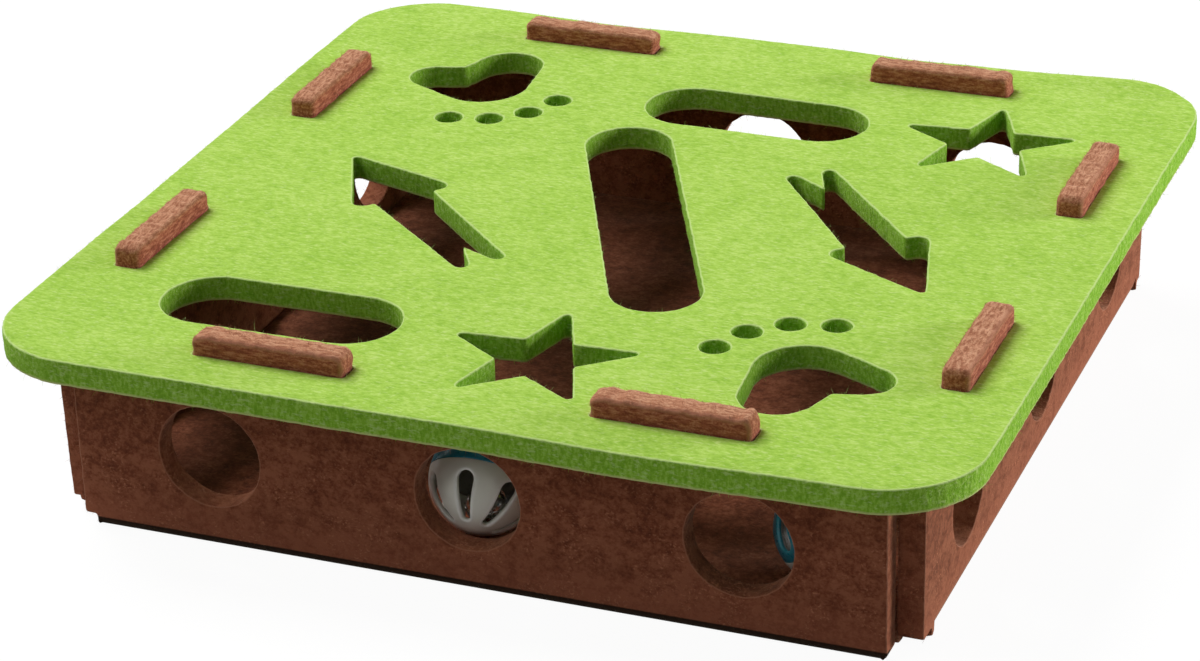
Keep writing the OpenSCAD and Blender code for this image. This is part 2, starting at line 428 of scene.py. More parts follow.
@dataclass
class FeltBoard:
    """Board of pressed felt in its own plane (u, v), with w from 0 up to its thickness.

    Attributes:
        outline: Anticlockwise outer edge.
        holes: Anticlockwise edges of the cut-outs.
        thickness: Thickness of the felt.
        seed: Seed of the felt's unevenness.
        edge_r: Rounding of the cut edges.
        corner: How far the cutter's blur reaches round sharp corners.
        step: Distance between points along the edges.
        spacing: Distance between points on the faces.
        fold_r: Rounding of the upper edge along the fold at v = 0, or 0 for none.
        fold_ends: Distances of that fold's left and right end from u = 0.
        fold_taper: Length in which the rounding dies out at those ends.
        fold_near: Distance from v = 0 within which an edge is the fold.
        fold_reach: Height v at which the mark of the fold has faded out.
        shade_painted_at_foot: Whether shade is painted in a dark band at the felt's foot, under the
            fold.
        soft_above: Height v above which the felt is worn soft and lumpy.
        soft_over: Height in which that wear sets in.
        soft_r: Rounding of the edges there.
        open_cut: How open the fibres stand on crisp cut edges; on worn ones they are all open.
        swollen: How far the faces of the worn felt stand out.
        uneven: How far the cutter strayed from the crisp edges.
        worn_uneven: How much further the worn edges stray.
        grain: Height of the faces' grain.
        worn_grain: Height of the lumps on the worn faces.
    """

    outline: Floats
    holes: list[Floats]
    thickness: float
    seed: int
    edge_r: float = 0.8
    corner: float = 0.7
    step: float = 0.75
    spacing: float = 3.0
    fold_r: float = 0.0
    fold_ends: Pair = (0.0, 0.0)
    fold_taper: float = 0.9
    fold_near: float = 0.8
    fold_reach: float = 55.0
    shade_painted_at_foot: bool = False
    soft_above: float = math.inf
    soft_over: float = 1.5
    soft_r: float = 2.2
    open_cut: float = 1.0
    swollen: float = 0.3
    uneven: float = 0.09
    worn_uneven: float = 0.1
    grain: float = 0.05
    worn_grain: float = 0.15

    def wear(self, points: Floats) -> Floats:
        """Gives 1 where the felt is worn soft and 0 where it is crisp, from (u, v) places."""
        return np.clip((points[..., 1] - self.soft_above) / self.soft_over, 0.0, 1.0)

    def fold(self, points: Floats) -> Floats:
        """Tells the edge along the fold at v = 0 from the rest.

        Args:
            points: Places, with (u, v) first.

        Returns:
            1 along the fold and 0 away from it.
        """
        if not self.fold_r:
            return np.zeros(points.shape[:-1])
        return np.clip(2.0 - np.abs(points[..., 1]) / self.fold_near, 0.0, 1.0)

    def stray(self, points: Floats) -> Floats:
        """Gives how far cut edges stray at (u, v) places, which is nothing along the fold."""
        return (self.uneven + self.worn_uneven * self.wear(points)) * (1.0 - self.fold(points))

    def swelling(self, points: Floats) -> Floats:
        """Gives how far a face of the worn felt stands out, from (u, v) places."""
        return self.swollen * self.wear(points)

    def edges(self) -> list[Floats]:
        """Rounds the cut edges and lets them stray a little.

        Returns:
            Every edge's points, with the felt on its left.
        """
        loops = [self.outline] + [hole[::-1] for hole in self.holes]
        soft = [softened(loop, self.corner, self.step) for loop in loops]
        strays = [
            self.stray(loop) * CUTTER_STRAY.heights(loop, self.seed + n)
            for n, loop in enumerate(soft)
        ]
        return [loop + felt_side(loop) * away[:, None] for loop, away in zip(soft, strays)]

    def rounds(self, loop: Floats) -> tuple[Floats, Floats]:
        """Gives the rounding of the upper and of the lower edge at each point.

        Args:
            loop: Points of one edge.

        Returns:
            One upper radius per point, wider along a fold, and one lower radius.
        """
        lower = self.edge_r + (self.soft_r - self.edge_r) * self.wear(loop)
        left, right = self.fold_ends
        inward = np.minimum(left + loop[:, 0], right - loop[:, 0])
        ends = np.clip(inward / self.fold_taper, 0.0, 1.0)
        return lower + (self.fold_r - self.edge_r) * self.fold(loop) * ends, lower

    def rim(self, loop: Floats, number: int) -> Floats:
        """Carries the edge's profile along one loop.

        From the upper face the profile turns down a quarter circle, inset b (1 - sin a) and
        depth b (1 - cos a), runs down the cut and turns in again under the lower face. The cut
        is half as uneven as the edge's line.

        Args:
            loop: Points of the edge.
            number: Number of the edge, for its own unevenness.

        Returns:
            Places as a grid of (point along the edge, point of the profile, axis).
        """
        quarter = np.linspace(0.0, math.pi / 2, 4)
        high, low = (radius[:, None] for radius in self.rounds(loop))
        drop = np.array([1.0, 2.0]) / 3.0
        top, foot = self.thickness - high, low
        inset = [high * (1 - np.sin(quarter)), 0 * high * drop, low * (1 - np.sin(quarter[::-1]))]
        level = [
            self.thickness - high * (1 - np.cos(quarter)),
            top + (foot - top) * drop,
            low * (1 - np.cos(quarter[::-1])),
        ]
        inset, level = np.concatenate(inset, axis=1), np.concatenate(level, axis=1)
        flat = loop[:, None] + felt_side(loop)[:, None] * inset[..., None]
        grid = np.concatenate([flat, level[..., None]], axis=-1)
        bump = 0.5 * self.stray(grid) * RIM_LUMPS.heights(grid, self.seed + number)
        fade = np.sin(np.linspace(0.0, math.pi, inset.shape[1]))
        grid[..., :2] += felt_side(loop)[:, None] * (bump * fade)[..., None]
        grid[..., 2] += self.swelling(grid) * (2.0 * grid[..., 2] / self.thickness - 1.0)
        return grid

    def opened(self, loop: Floats, rim: Floats) -> Floats:
        """Gives how open the fibres stand along one edge, most on worn edges that face up.

        Args:
            loop: Points of the edge.
            rim: Places of its profile.

        Returns:
            One number per place of the rim.
        """
        upward = np.clip(-felt_side(loop)[:, 1:], 0.0, 1.0) * self.wear(rim)
        opened = self.open_cut + (1.0 - self.open_cut) * upward
        return (RIM_CUT * opened * (1.0 - self.fold(rim))).ravel()

    def face(self, rings: list[Floats]) -> tuple[Floats, Ints]:
        """Fills a flat face between its edges with even triangles.

        Points of a jittered grid that keep clear of the edges join the edges' own points in a
        constrained Delaunay triangulation, which leaves the holes open.

        Args:
            rings: Edges of the face, each with the felt on its left.

        Returns:
            Places of the added points, and triangles that number the edges' points first.
        """
        rng = np.random.default_rng(self.seed + FACE_SEED)
        edge = np.concatenate(rings)
        low, high = edge.min(axis=0), edge.max(axis=0)
        axes = [np.arange(a, b, self.spacing) for a, b in zip(low, high)]
        inner = np.stack(np.meshgrid(*axes, indexing="ij"), axis=-1).reshape(-1, 2)
        inner = inner + rng.uniform(-FACE_JITTER, FACE_JITTER, inner.shape) * self.spacing
        clear = np.concatenate([nearest(part, edge) for part in np.array_split(inner, 40)])
        inner = inner[(clear > FACE_CLEAR * self.spacing) & enclosed(inner, rings)]
        count = np.cumsum([0] + [len(ring) for ring in rings])
        lines = np.concatenate([
            np.stack([np.arange(n), np.roll(np.arange(n), -1)], axis=-1) + s
            for n, s in zip(map(len, rings), count)
        ])
        points = np.concatenate([edge, inner])
        _, _, faces, origin, _, _ = delaunay_2d_cdt(points.tolist(), lines.tolist(), [], 1, 1e-6)
        back = np.array([first[0] if first else -1 for first in origin])
        faces = back[np.asarray(faces)]
        faces = faces[(faces >= 0).all(axis=1)]
        spans = (faces < len(edge)).all(axis=1)
        kept = ~spans
        kept[spans] = enclosed(points[faces[spans]].mean(axis=1), rings)
        return inner, faces[kept]

    def places(self, points: Floats) -> Marks:
        """Marks points with their place on the board, nearness to the fold and wear.

        Args:
            points: Places in (u, v, w).

        Returns:
            The marks by their names, one number per point.
        """
        near = np.clip(1.0 - points[:, 1] / self.fold_reach, 0.0, 1.0) * bool(self.fold_r)
        return {
            "along": points[:, 0],
            "up": points[:, 1],
            "fold": near,
            # Where a dark band of shade is painted at the foot of the board
            "soil": near * self.shade_painted_at_foot,
            "worn": self.wear(points),
        }

    def fuzz(self, kind: Fuzz) -> Skin:
        """Grows loose fibres out of the cut edges, most of them from their two corners.

        A fibre's direction is made of the edge's outward normal, its own way up or down, and
        chance.

        Args:
            kind: What the fibres are like.

        Returns:
            Places in (u, v, w), faces and marks of the fibres.
        """
        rng = np.random.default_rng(self.seed + FUZZ_SEED)
        roots, ways = [], []
        for number, loop in enumerate(self.edges()):
            grid = self.rim(loop, number)
            growth = 1.0 + kind.worn_more * self.wear(loop)
            count = round(kind.per_mm * self.step * growth.sum())
            at = rng.choice(len(loop), count, p=growth / growth.sum())
            column = rng.choice(RIM_ROOTS, count)
            free = self.fold(loop)[at] == 0.0
            away = np.concatenate([-felt_side(loop)[at], RIM_LIFT[column][:, None]], axis=-1)
            roots.append(grid[at, column][free])
            ways.append((away + rng.normal(0.0, kind.wild, away.shape))[free])
        roots, ways = np.concatenate(roots), np.concatenate(ways)
        points, faces = kind.grow(roots, ways, rng)
        each = len(points) // len(roots)
        marks = self.places(points)
        marks["cut"] = np.ones(len(points))
        marks["depth"] = np.full(len(points), 0.5)
        # Fibres near the upper face take the pale crest colour, partly a painted highlight
        marks["edge"] = np.repeat(roots[:, 2] > 0.8 * self.thickness, each).astype(float)
        return points, faces, marks

    def build(self) -> Skin:
        """Builds the closed board.

        Returns:
            Places in (u, v, w), the faces, anticlockwise from outside, and marks for each
            point: its place on the board, how open a cut it lies on, its depth from the lower
            face, and how near the pale upper edge of a cut, partly a painted highlight.
        """
        edges = self.edges()
        rims = [self.rim(loop, n) for n, loop in enumerate(edges)]
        cuts = [self.opened(loop, r) for loop, r in zip(edges, rims)]
        # The pale crest along upper edges, partly a painted highlight
        pale_edge_highlight = [(RIM_PALE_CREST_HIGHLIGHT * (1.0 - self.fold(r))).ravel() for r in rims]
        start = np.cumsum([0] + [r.shape[0] * r.shape[1] for r in rims])
        points = [r.reshape(-1, 3) for r in rims]
        faces = [grid_faces(*r.shape[:2], True, False, s).tolist() for r, s in zip(rims, start)]
        total = int(start[-1])
        for column, level, flip in ((0, self.thickness, False), (-1, 0.0, True)):
            rings = [r[:, column, :2] for r in rims]
            numbers = np.concatenate([
                s + np.arange(r.shape[0]) * r.shape[1] + column % r.shape[1]
                for r, s in zip(rims, start)
            ])
            inner, triangles = self.face(rings)
            lumps = self.worn_grain * self.wear(inner) * WORN_LUMPS.heights(inner, self.seed + flip)
            relief = self.grain * FACE_GRAIN.heights(inner, self.seed + flip) + lumps
            relief += self.swelling(inner) * (-1.0 if flip else 1.0)
            points.append(np.column_stack([inner, level + relief]))
            cuts.append(np.zeros(len(inner)))
            pale_edge_highlight.append(np.zeros(len(inner)))
            numbers = np.concatenate([numbers, total + np.arange(len(inner))])
            total += len(inner)
            corners = numbers[triangles]
            faces.append((corners[:, ::-1] if flip else corners).tolist())
        points = np.concatenate(points)
        marks = self.places(points)
        marks["cut"] = np.concatenate(cuts)
        marks["depth"] = points[:, 2] / self.thickness
        marks["edge"] = np.concatenate(pale_edge_highlight)
        return points, sum(faces, []), marks

    def pieces(
        self, name: str, kind: Fuzz, place: Callable[[Floats], Floats], material: Material
    ) -> list[Piece]:
        """Builds the board's felt and its loose fibres where they belong.

        Args:
            name: Start of the pieces' names.
            kind: What the fibres are like.
            place: Takes places on the board into the object's frame.
            material: Felt of the board.

        Returns:
            The felt and its fuzz.
        """
        skins = {"felt": self.build(), "fuzz": self.fuzz(kind)}
        return [
            make_piece(f"{name}_{part}", place(points), faces, material, marks=marks)
            for part, (points, faces, marks) in skins.items()
        ]


# Finishes


@dataclass(frozen=True)
class Rise:
    """Clamped rise of one value with another.

    Attributes:
        low: Where the rise starts.
        high: Where it ends.
        top: Value that it reaches.
        foot: Value that it starts from.
    """

    low: float
    high: float
    top: float = 1.0
    foot: float = 0.0


class Graph:
    """Lays out the nodes of one material, or of the world."""

    def __init__(self, owner: Material | bpy.types.World) -> None:
        """Empties the owner's nodes.

        Args:
            owner: Material or world that gets the nodes.
        """
        self.owner = owner
        self.owner.use_nodes = True
        self.tree = self.owner.node_tree
        self.tree.nodes.clear()

    def node(self, kind: str, inputs: dict | None = None, **settings: object) -> bpy.types.Node:
        """Adds a node, sets its properties, and links or fills its inputs.

        Args:
            kind: Blender's name of the node's type without its ShaderNode start.
            inputs: Value or output socket for each named or numbered input.
            settings: Properties of the node.

        Returns:
            The node.
        """
        made = self.tree.nodes.new("ShaderNode" + kind)
        for key, value in settings.items():
            setattr(made, key, value)
        for key, value in (inputs or {}).items():
            if isinstance(value, Socket):
                self.tree.links.new(value, made.inputs[key])
            else:
                made.inputs[key].default_value = value
        return made

    def noise(self, vector: Socket, size: float, detail: float = 3.0) -> Socket:
        """Adds a noise whose grains are about the given size in millimetres.

        Args:
            vector: Coordinates in metres.
            size: Size of a grain.
            detail: Number of finer layers.

        Returns:
            The noise's value.
        """
        values = {"Vector": vector, "Scale": 1.0 / (size * METRES), "Detail": detail, "Roughness": 0.6}
        return self.node("TexNoise", values).outputs[0]

    def math(self, operation: str, *values: object) -> Socket:
        """Adds a sum, product or other operation on numbers."""
        return self.node("Math", dict(enumerate(values)), operation=operation).outputs[0]

    def mix(self, share: object, first: object, second: object) -> Socket:
        """Adds a mix of two colours, the second one by its share."""
        return self.node("Mix", {"Factor": share, 6: first, 7: second}, data_type="RGBA").outputs[2]

    def ramp(self, value: object, rise: Rise, share: float = 1.0) -> Socket:
        """Adds a clamped rise with a value, its top lessened to a share."""
        limits = {0: value, 1: rise.low, 2: rise.high, 3: rise.foot, 4: share * rise.top}
        return self.node("MapRange", limits).outputs[0]

    def mark(self, name: str) -> Socket:
        """Adds the reading of one of the mesh's marks."""
        return self.node("Attribute", attribute_name=name).outputs["Fac"]

    def seen(self) -> Socket:
        """Tells what the camera sees straight, mirrored or through something clear.

        Returns:
            1 for what is seen so, and 0 for light on its way to other things.
        """
        path = self.node("LightPath").outputs
        seen = self.math("MAXIMUM", path["Is Camera Ray"], path["Is Glossy Ray"])
        return self.math("MAXIMUM", seen, path["Is Transmission Ray"])

    def finish(self, shader: Socket) -> Material | bpy.types.World:
        """Joins the shader to the output.

        Args:
            shader: Surface of the material or the world.

        Returns:
            The owner of the nodes.
        """
        kind = "OutputWorld" if isinstance(self.owner, bpy.types.World) else "OutputMaterial"
        self.node(kind, {"Surface": shader})
        return self.owner


def rgba(colour: Colour) -> tuple[float, float, float, float]:
    """Adds full cover to a colour."""
    return (*colour, 1.0)


@dataclass(frozen=True)
class Tones:
    """Three colours of a mottled surface.

    Attributes:
        deep: Colour between the fibres.
        main: Colour of most fibres.
        pale: Colour of fibres that catch the light.
    """

    deep: Colour
    main: Colour
    pale: Colour


# Values of the mottles' noise at which the deep, main and pale colours lie
TONE_STOPS = (0.40, 0.50, 0.60)
# Depth from the lower face, at which the outer half of the felt begins
OUTER_HALF = Rise(0.45, 0.65)
# Nearness to a fold over which light is painted, paler towards a wall's foot, and at which
# shade is painted in a dark band at the foot itself
FOOT_LIGHT_RISE = Rise(0.72, 0.94, 0.4)
FOOT_SHADE_RISE = Rise(0.941, 0.948, 0.95)
# Noise values over which clusters of light fibres and the fibres themselves show
CLUSTERS = Rise(0.45, 0.60)
SPECKS = Rise(0.55, 0.67)
# Share of the clusters that is left far from a fold
FAR_CLUSTERS = 0.35
# Depth over which a cut's lower edge frays and closeness over which its crest shows; both
# pale lines are partly loose fibres and partly painted highlights
PALE_FRAY_HIGHLIGHTS = Rise(0.15, 0.05)
PALE_CREST_HIGHLIGHTS = Rise(0.25, 0.9, 0.75)


@dataclass(frozen=True)
class FeltFinish:
    """Pressed felt: mottled fibres on the faces, and open speckled fibres on the cut edges.

    Attributes:
        name: Name of the material.
        face: Colours of the pressed faces.
        cut: Colours of the cut edges.
        speck: Colour of single light fibres.
        speck_share: How strongly those show.
        pale_fray_highlight: Colour of a cut's fraying lower edge: loose fibres, partly a painted
        highlight.
        pale_fray_highlight_share: How strongly that shows.
        pale_crest_highlight: Colour of the pale fibres along the upper edge of a cut, partly a
        painted highlight.
        foot_light_tone: Paler colour over a wall's lower part near the fold: painted light.
        foot_shade_tone: Near-black colour of a band at a wall's foot: painted shade where it meets the
            floor.
        rubbed: Colours of the faces where the felt is worn.
        painted_light_lift: How much paler the faces are painted towards a fold, as a share of the
        tones' range: painted light, which leaves the faces under the lid darker.
        grain: Size of the fibres' mottles across, in millimetres.
        stretch: How much longer the mottles are along the board.
        cut_lie: Shrinking of the cuts' mottles along, up and through the board.
        weights: Shares of the fibres, fine fibres, small and large clouds in the faces' tone.
        clustered: How far the light fibres keep to clusters, from 0 to 1.
        sheen: Strength of the pale glow of the loose fibres at grazing angles.
        sheen_tint: Colour of that glow.
        slant: Degrees by which the mottles lie across the board.
        clouds: Sizes of the small and large clouds, in millimetres.
        cluster: Size of the clusters of light fibres.
        fibre: Size of the light fibres and of the cuts' mottles.
        cut_weights: Shares of the mottles and of the fine fibres in the cuts' tone.
        speck_height: Height of the light fibres, as a share of the relief.
        relief: Height of the mottles in millimetres.
    """

    name: str
    face: Tones
    cut: Tones
    speck: Colour
    speck_share: float
    pale_fray_highlight: Colour
    pale_fray_highlight_share: float
    pale_crest_highlight: Colour
    foot_light_tone: Colour
    foot_shade_tone: Colour
    rubbed: Tones
    painted_light_lift: float
    grain: float
    stretch: float
    cut_lie: Triple
    weights: tuple[float, float, float, float]
    clustered: float
    sheen: float
    sheen_tint: Colour
    slant: float = 6.0
    clouds: Pair = (4.0, 20.0)
    cluster: float = 9.0
    fibre: float = 0.9
    cut_weights: Pair = (0.7, 0.3)
    speck_height: float = 0.4
    relief: float = 0.7

    def tones(self, g: Graph, value: Socket, tones: Tones) -> Socket:
        """Colours a noise value from deep to pale.

        Args:
            g: Graph of the material.
            value: Noise about 0.5.
            tones: The three colours.

        Returns:
            The colour.
        """
        ramp = g.node("ValToRGB", {"Fac": value})
        stops = ramp.color_ramp.elements
        stops[0].position, stops[0].color = TONE_STOPS[0], rgba(tones.deep)
        stops[1].position, stops[1].color = TONE_STOPS[2], rgba(tones.pale)
        stops.new(TONE_STOPS[1]).color = rgba(tones.main)
        return ramp.outputs[0]

    def material(self) -> Material:
        """Builds the felt's nodes.

        Returns:
            The material.
        """
        g = Graph(bpy.data.materials.new(self.name))
        cut, depth, fold, worn = (g.mark(name) for name in ("cut", "depth", "fold", "worn"))
        spans = ((g.mark("along"), 1.0), (g.mark("up"), 1.0), (depth, FELT_THICKNESS))
        axes = [g.math("MULTIPLY", mark, span * METRES) for mark, span in spans]
        place = g.node("CombineXYZ", dict(enumerate(axes))).outputs[0]
        turn, draw = (0.0, 0.0, math.radians(self.slant)), (1.0 / self.stretch, 1.0, 1.0)
        along = g.node("Mapping", {"Vector": place, "Rotation": turn, "Scale": draw}).outputs[0]
        through = g.node("Mapping", {"Vector": place, "Scale": self.cut_lie}).outputs[0]

        # Tone of the faces and of the cuts
        fine = g.noise(along, 0.4 * self.grain, 2.0)
        small, large = g.noise(along, self.clouds[0], 2.0), g.noise(place, self.clouds[1], 2.0)
        # Painted light: the faces are painted paler towards the fold, which leaves them darker under
        # the lid
        face = g.math("MULTIPLY", fold, (TONE_STOPS[2] - TONE_STOPS[0]) * self.painted_light_lift)
        for layer, weight in zip((g.noise(along, self.grain), fine, small, large), self.weights):
            face = g.math("MULTIPLY_ADD", layer, weight, face)
        open_end = g.math("MULTIPLY", g.noise(through, self.fibre), self.cut_weights[0])
        open_end = g.math("MULTIPLY_ADD", fine, self.cut_weights[1], open_end)
        pressed, rubbed = self.tones(g, face, self.face), self.tones(g, open_end, self.rubbed)
        colour = g.mix(worn, pressed, rubbed)
        colour = g.mix(cut, colour, self.tones(g, open_end, self.cut))

        # Painted light and shade at a wall's foot, light fibres, and fraying edges and crests that are
        # partly painted highlights
        outer = g.ramp(depth, OUTER_HALF)
        # Painted light: the lower part of the outer face is painted paler
        colour = g.mix(g.ramp(g.math("MULTIPLY", fold, outer), FOOT_LIGHT_RISE), colour, rgba(self.foot_light_tone))
        near = g.math("MULTIPLY_ADD", fold, 1.0 - FAR_CLUSTERS, FAR_CLUSTERS)
        patches = g.math("MULTIPLY", g.ramp(g.noise(place, self.cluster, 2.0), CLUSTERS), near)
        patches = g.math("MAXIMUM", patches, 1.0 - self.clustered)
        light = g.ramp(g.noise(along, self.fibre, 2.0), SPECKS, self.speck_share)
        speck = g.math("MULTIPLY", light, patches)
        colour = g.mix(speck, colour, rgba(self.speck))
        # A pale line along the lower edges of cuts, partly fraying fibres and partly a painted
        # highlight
        fray_and_highlight = g.math("MULTIPLY", g.ramp(depth, PALE_FRAY_HIGHLIGHTS, self.pale_fray_highlight_share), cut)
        colour = g.mix(fray_and_highlight, colour, rgba(self.pale_fray_highlight))
        # A pale line along the upper edges of cuts, partly loose fibres and partly a painted highlight
        colour = g.mix(g.ramp(g.mark("edge"), PALE_CREST_HIGHLIGHTS), colour, rgba(self.pale_crest_highlight))
        # Painted shade: a near-black band at the wall's foot, where it meets the floor
        shade_painted_at_foot = g.ramp(g.math("MULTIPLY", g.mark("soil"), outer), FOOT_SHADE_RISE)
        colour = g.mix(shade_painted_at_foot, colour, rgba(self.foot_shade_tone))

        height = g.math("ADD", face, g.math("MULTIPLY", cut, open_end))
        height = g.math("MULTIPLY_ADD", speck, self.speck_height, height)
        bump = g.node("Bump", {"Strength": 0.5, "Distance": self.relief * METRES, "Height": height})
        shader = g.node(
            "BsdfPrincipled",
            {
                "Base Color": colour,
                "Roughness": 0.95,
                "Specular IOR Level": 0.06,
                "Sheen Weight": self.sheen,
                "Sheen Roughness": 0.5,
                "Sheen Tint": rgba(self.sheen_tint),
                "Normal": bump.outputs[0],
            },
        )
        return g.finish(shader.outputs[0])


@dataclass(frozen=True)
class PlasticFinish:
    """Moulded glossy plastic with a faint flow in its colour and a few dull patches.

    Attributes:
        name: Name of the material.
        tone: Main colour.
        shade: Colour in the flow's darker streaks.
        inside: Colour of the inner side: painted shade inside the ball, on the blue half a brownish
        grey that also paints the light thrown back by the felt.
        lip: Colour of the smooth lips round the slots, painted paler as a highlight.
        rough: Rise of the roughness from the glossy to the scuffed places.
        flow: Size of the streaks in millimetres.
        scuff: Size of the scuffs in millimetres.
    """

    name: str
    tone: Colour
    shade: Colour
    inside: Colour
    lip: Colour
    rough: Rise
    flow: float = 9.0
    scuff: float = 1.2

    def material(self) -> Material:
        """Builds the plastic's nodes.

        Returns:
            The material.
        """
        g = Graph(bpy.data.materials.new(self.name))
        place = g.node("TexCoord").outputs["Object"]
        scuffs = g.noise(place, self.scuff, 4.0)
        streaks = g.mix(g.noise(place, self.flow, 2.0), rgba(self.shade), rgba(self.tone))
        # Painted highlight: the lips round the slots are painted paler
        outer = g.mix(g.mark("lip"), streaks, rgba(self.lip))
        bump = g.node("Bump", {"Strength": 0.08, "Distance": 0.2 * METRES, "Height": scuffs})
        shader = g.node(
            "BsdfPrincipled",
            {
                # Painted shade: the inner side of the shell is painted darker
                "Base Color": g.mix(g.mark("inside"), outer, rgba(self.inside)),
                "Roughness": g.ramp(scuffs, self.rough),
                "Specular IOR Level": 0.5,
                "Normal": bump.outputs[0],
            },
        )
        return g.finish(shader.outputs[0])


@dataclass(frozen=True)
class MetalFinish:
    """Thin plated metal, bright with fine rubbing marks.

    Attributes:
        name: Name of the material.
        tone: Colour of the plating.
        rough: Rise of the roughness from the bright to the rubbed places.
        rub: Size of the rubbing marks in millimetres.
    """

    name: str
    tone: Colour
    rough: Rise
    rub: float = 0.8

    def material(self) -> Material:
        """Builds the metal's nodes.

        Returns:
            The material.
        """
        g = Graph(bpy.data.materials.new(self.name))
        marks = g.noise(g.node("TexCoord").outputs["Object"], self.rub, 5.0)
        shader = g.node(
            "BsdfPrincipled",
            {
                "Base Color": rgba(self.tone),
                "Metallic": 1.0,
                "Roughness": g.ramp(marks, self.rough),
            },
        )
        return g.finish(shader.outputs[0])


LIME = Tones((0.30, 0.54, 0.060), (0.40, 0.64, 0.095), (0.52, 0.74, 0.170))
GREEN_FELT = FeltFinish(
    "lime_felt",
    face=LIME,
    cut=Tones((0.20, 0.445, 0.027), (0.272, 0.54, 0.045), (0.37, 0.64, 0.095)),
    speck=(0.72, 0.86, 0.38),
    speck_share=0.35,
    pale_fray_highlight=(0.74, 0.70, 0.34),
    pale_fray_highlight_share=0.8,
    pale_crest_highlight=(0.66, 0.83, 0.34),
    foot_light_tone=LIME.pale,
    foot_shade_tone=(0.30, 0.50, 0.06),
    rubbed=LIME,
    painted_light_lift=0.0,
    grain=1.1,
    stretch=2.4,
    cut_lie=(1.0, 1.0, 0.45),
    weights=(0.45, 0.25, 0.15, 0.15),
    clustered=0.0,
    sheen=0.12,
    sheen_tint=LIME.pale,
)
BROWN_FELT = FeltFinish(
    "chestnut_felt",
    face=Tones((0.135, 0.034, 0.017), (0.235, 0.067, 0.033), (0.38, 0.128, 0.068)),
    cut=Tones((0.33, 0.122, 0.064), (0.50, 0.222, 0.125), (0.64, 0.340, 0.208)),
    speck=(0.64, 0.25, 0.14),
    speck_share=0.85,
    pale_fray_highlight=(0.42, 0.20, 0.12),
    pale_fray_highlight_share=0.2,
    pale_crest_highlight=(0.50, 0.21, 0.13),
    foot_light_tone=(0.56, 0.180, 0.100),
    foot_shade_tone=(0.014, 0.007, 0.004),
    rubbed=Tones((0.25, 0.060, 0.042), (0.40, 0.102, 0.070), (0.56, 0.205, 0.140)),
    painted_light_lift=0.4,
    grain=1.3,
    stretch=1.1,
    cut_lie=(0.28, 1.0, 1.0),
    weights=(0.30, 0.15, 0.35, 0.20),
    clustered=0.85,
    sheen=0.26,
    sheen_tint=(0.55, 0.56, 0.44),
)
WHITE_PLASTIC = PlasticFinish(
    "white_plastic",
    tone=(0.90, 0.88, 0.80),
    shade=(0.83, 0.81, 0.73),
    inside=(0.60, 0.58, 0.53),
    lip=(0.97, 0.96, 0.92),
    rough=Rise(0.35, 0.70, 0.44, 0.28),
)
BLUE_PLASTIC = PlasticFinish(
    "sky_plastic",
    tone=(0.018, 0.26, 0.36),
    shade=(0.014, 0.20, 0.29),
    inside=(0.20, 0.18, 0.16),
    lip=(0.030, 0.33, 0.43),
    rough=Rise(0.35, 0.70, 0.40, 0.24),
)
BELL_METAL = MetalFinish("bell_plating", (0.62, 0.61, 0.58), Rise(0.30, 0.75, 0.34, 0.14))


# Fits of this box's walls


@dataclass(frozen=True)
class WallFit:
    """How one folded wall came out, seen from outside with its length from left to right.

    Attributes:
        fold_ends: Distances of the fold's left and right end from the wall's middle.
        rises: Heights of the wall's left and right end above the ground.
        fold_r: Outer radius of the fold.
        lean: How far the wall stands out at its left and at its right tab.
        tabs: How far those tabs are off their even places, to the right.
        holes: How far the three holes are off theirs.
    """

    fold_ends: Pair = (122.1, 122.1)
    rises: Pair = (3.8, 3.8)
    fold_r: float = 2.5
    lean: Pair = (0.0, 0.0)
    tabs: Pair = (0.0, 0.0)
    holes: Triple = (0.0, 0.0, 0.0)

    def stands_out(self, along: Floats, pitch: float) -> Floats:
        """Gives how far the wall stands out at places along it, straight through its two tabs."""
        left, right = self.lean
        return 0.5 * (left + right) + (right - left) * along / pitch


WALL_FITS: dict[Side, WallFit] = {
    Side.FRONT: WallFit(fold_ends=(121.6, 124.4), rises=(3.8, 1.2), tabs=(1.4, 0.0)),
    Side.RIGHT: WallFit(fold_ends=(117.0, 122.1), fold_r=6.0, lean=(0.4, 0.5)),
    Side.BACK: WallFit(tabs=(0.0, 1.1), holes=(0.0, 0.0, -2.5)),
    Side.LEFT: WallFit(lean=(2.2, 1.7)),
}


# Felt lid


@dataclass(frozen=True)
class Slot:
    """Round-ended slot cut in the lid.

    Attributes:
        at: Middle of the slot.
        length: Overall length.
        width: Width.
        turn: Degrees from the X axis.
    """

    at: Pair
    length: float
    width: float
    turn: float = 0.0

    def loops(self) -> list[Floats]:
        """Gives the slot's outline."""
        half, r = (self.length - self.width) / 2, self.width / 2
        return [placed(belt([(-half, 0, r), (half, 0, r)]), self.at, self.turn)]


@dataclass(frozen=True)
class Star:
    """Five-armed star cut in the lid.

    Attributes:
        at: Middle of the star.
        reach: Radius at the tips.
        core_r: Circle that the straight arms would touch.
        tip_r: Rounding of the tips.
        turn: Degrees by which the star is turned.
    """

    at: Pair
    reach: float = 28.8
    core_r: float = 10.0
    tip_r: float = 1.2
    turn: float = 4.0

    def loops(self) -> list[Floats]:
        """Runs a belt from tip to valley to tip.

        Returns:
            The star's outline.
        """
        tip = self.reach - self.tip_r
        lean = math.acos((self.core_r - self.tip_r) / tip)
        valley = self.core_r / math.cos(lean - math.radians(36))
        angle = np.radians(90 + 36 * np.arange(10))
        radius = np.where(np.arange(10) % 2, valley, tip)
        rounding = np.where(np.arange(10) % 2, 0.0, self.tip_r)
        rounds = np.column_stack([radius[:, None] * bearings(angle), rounding])
        return [placed(belt(rounds), self.at, self.turn)]


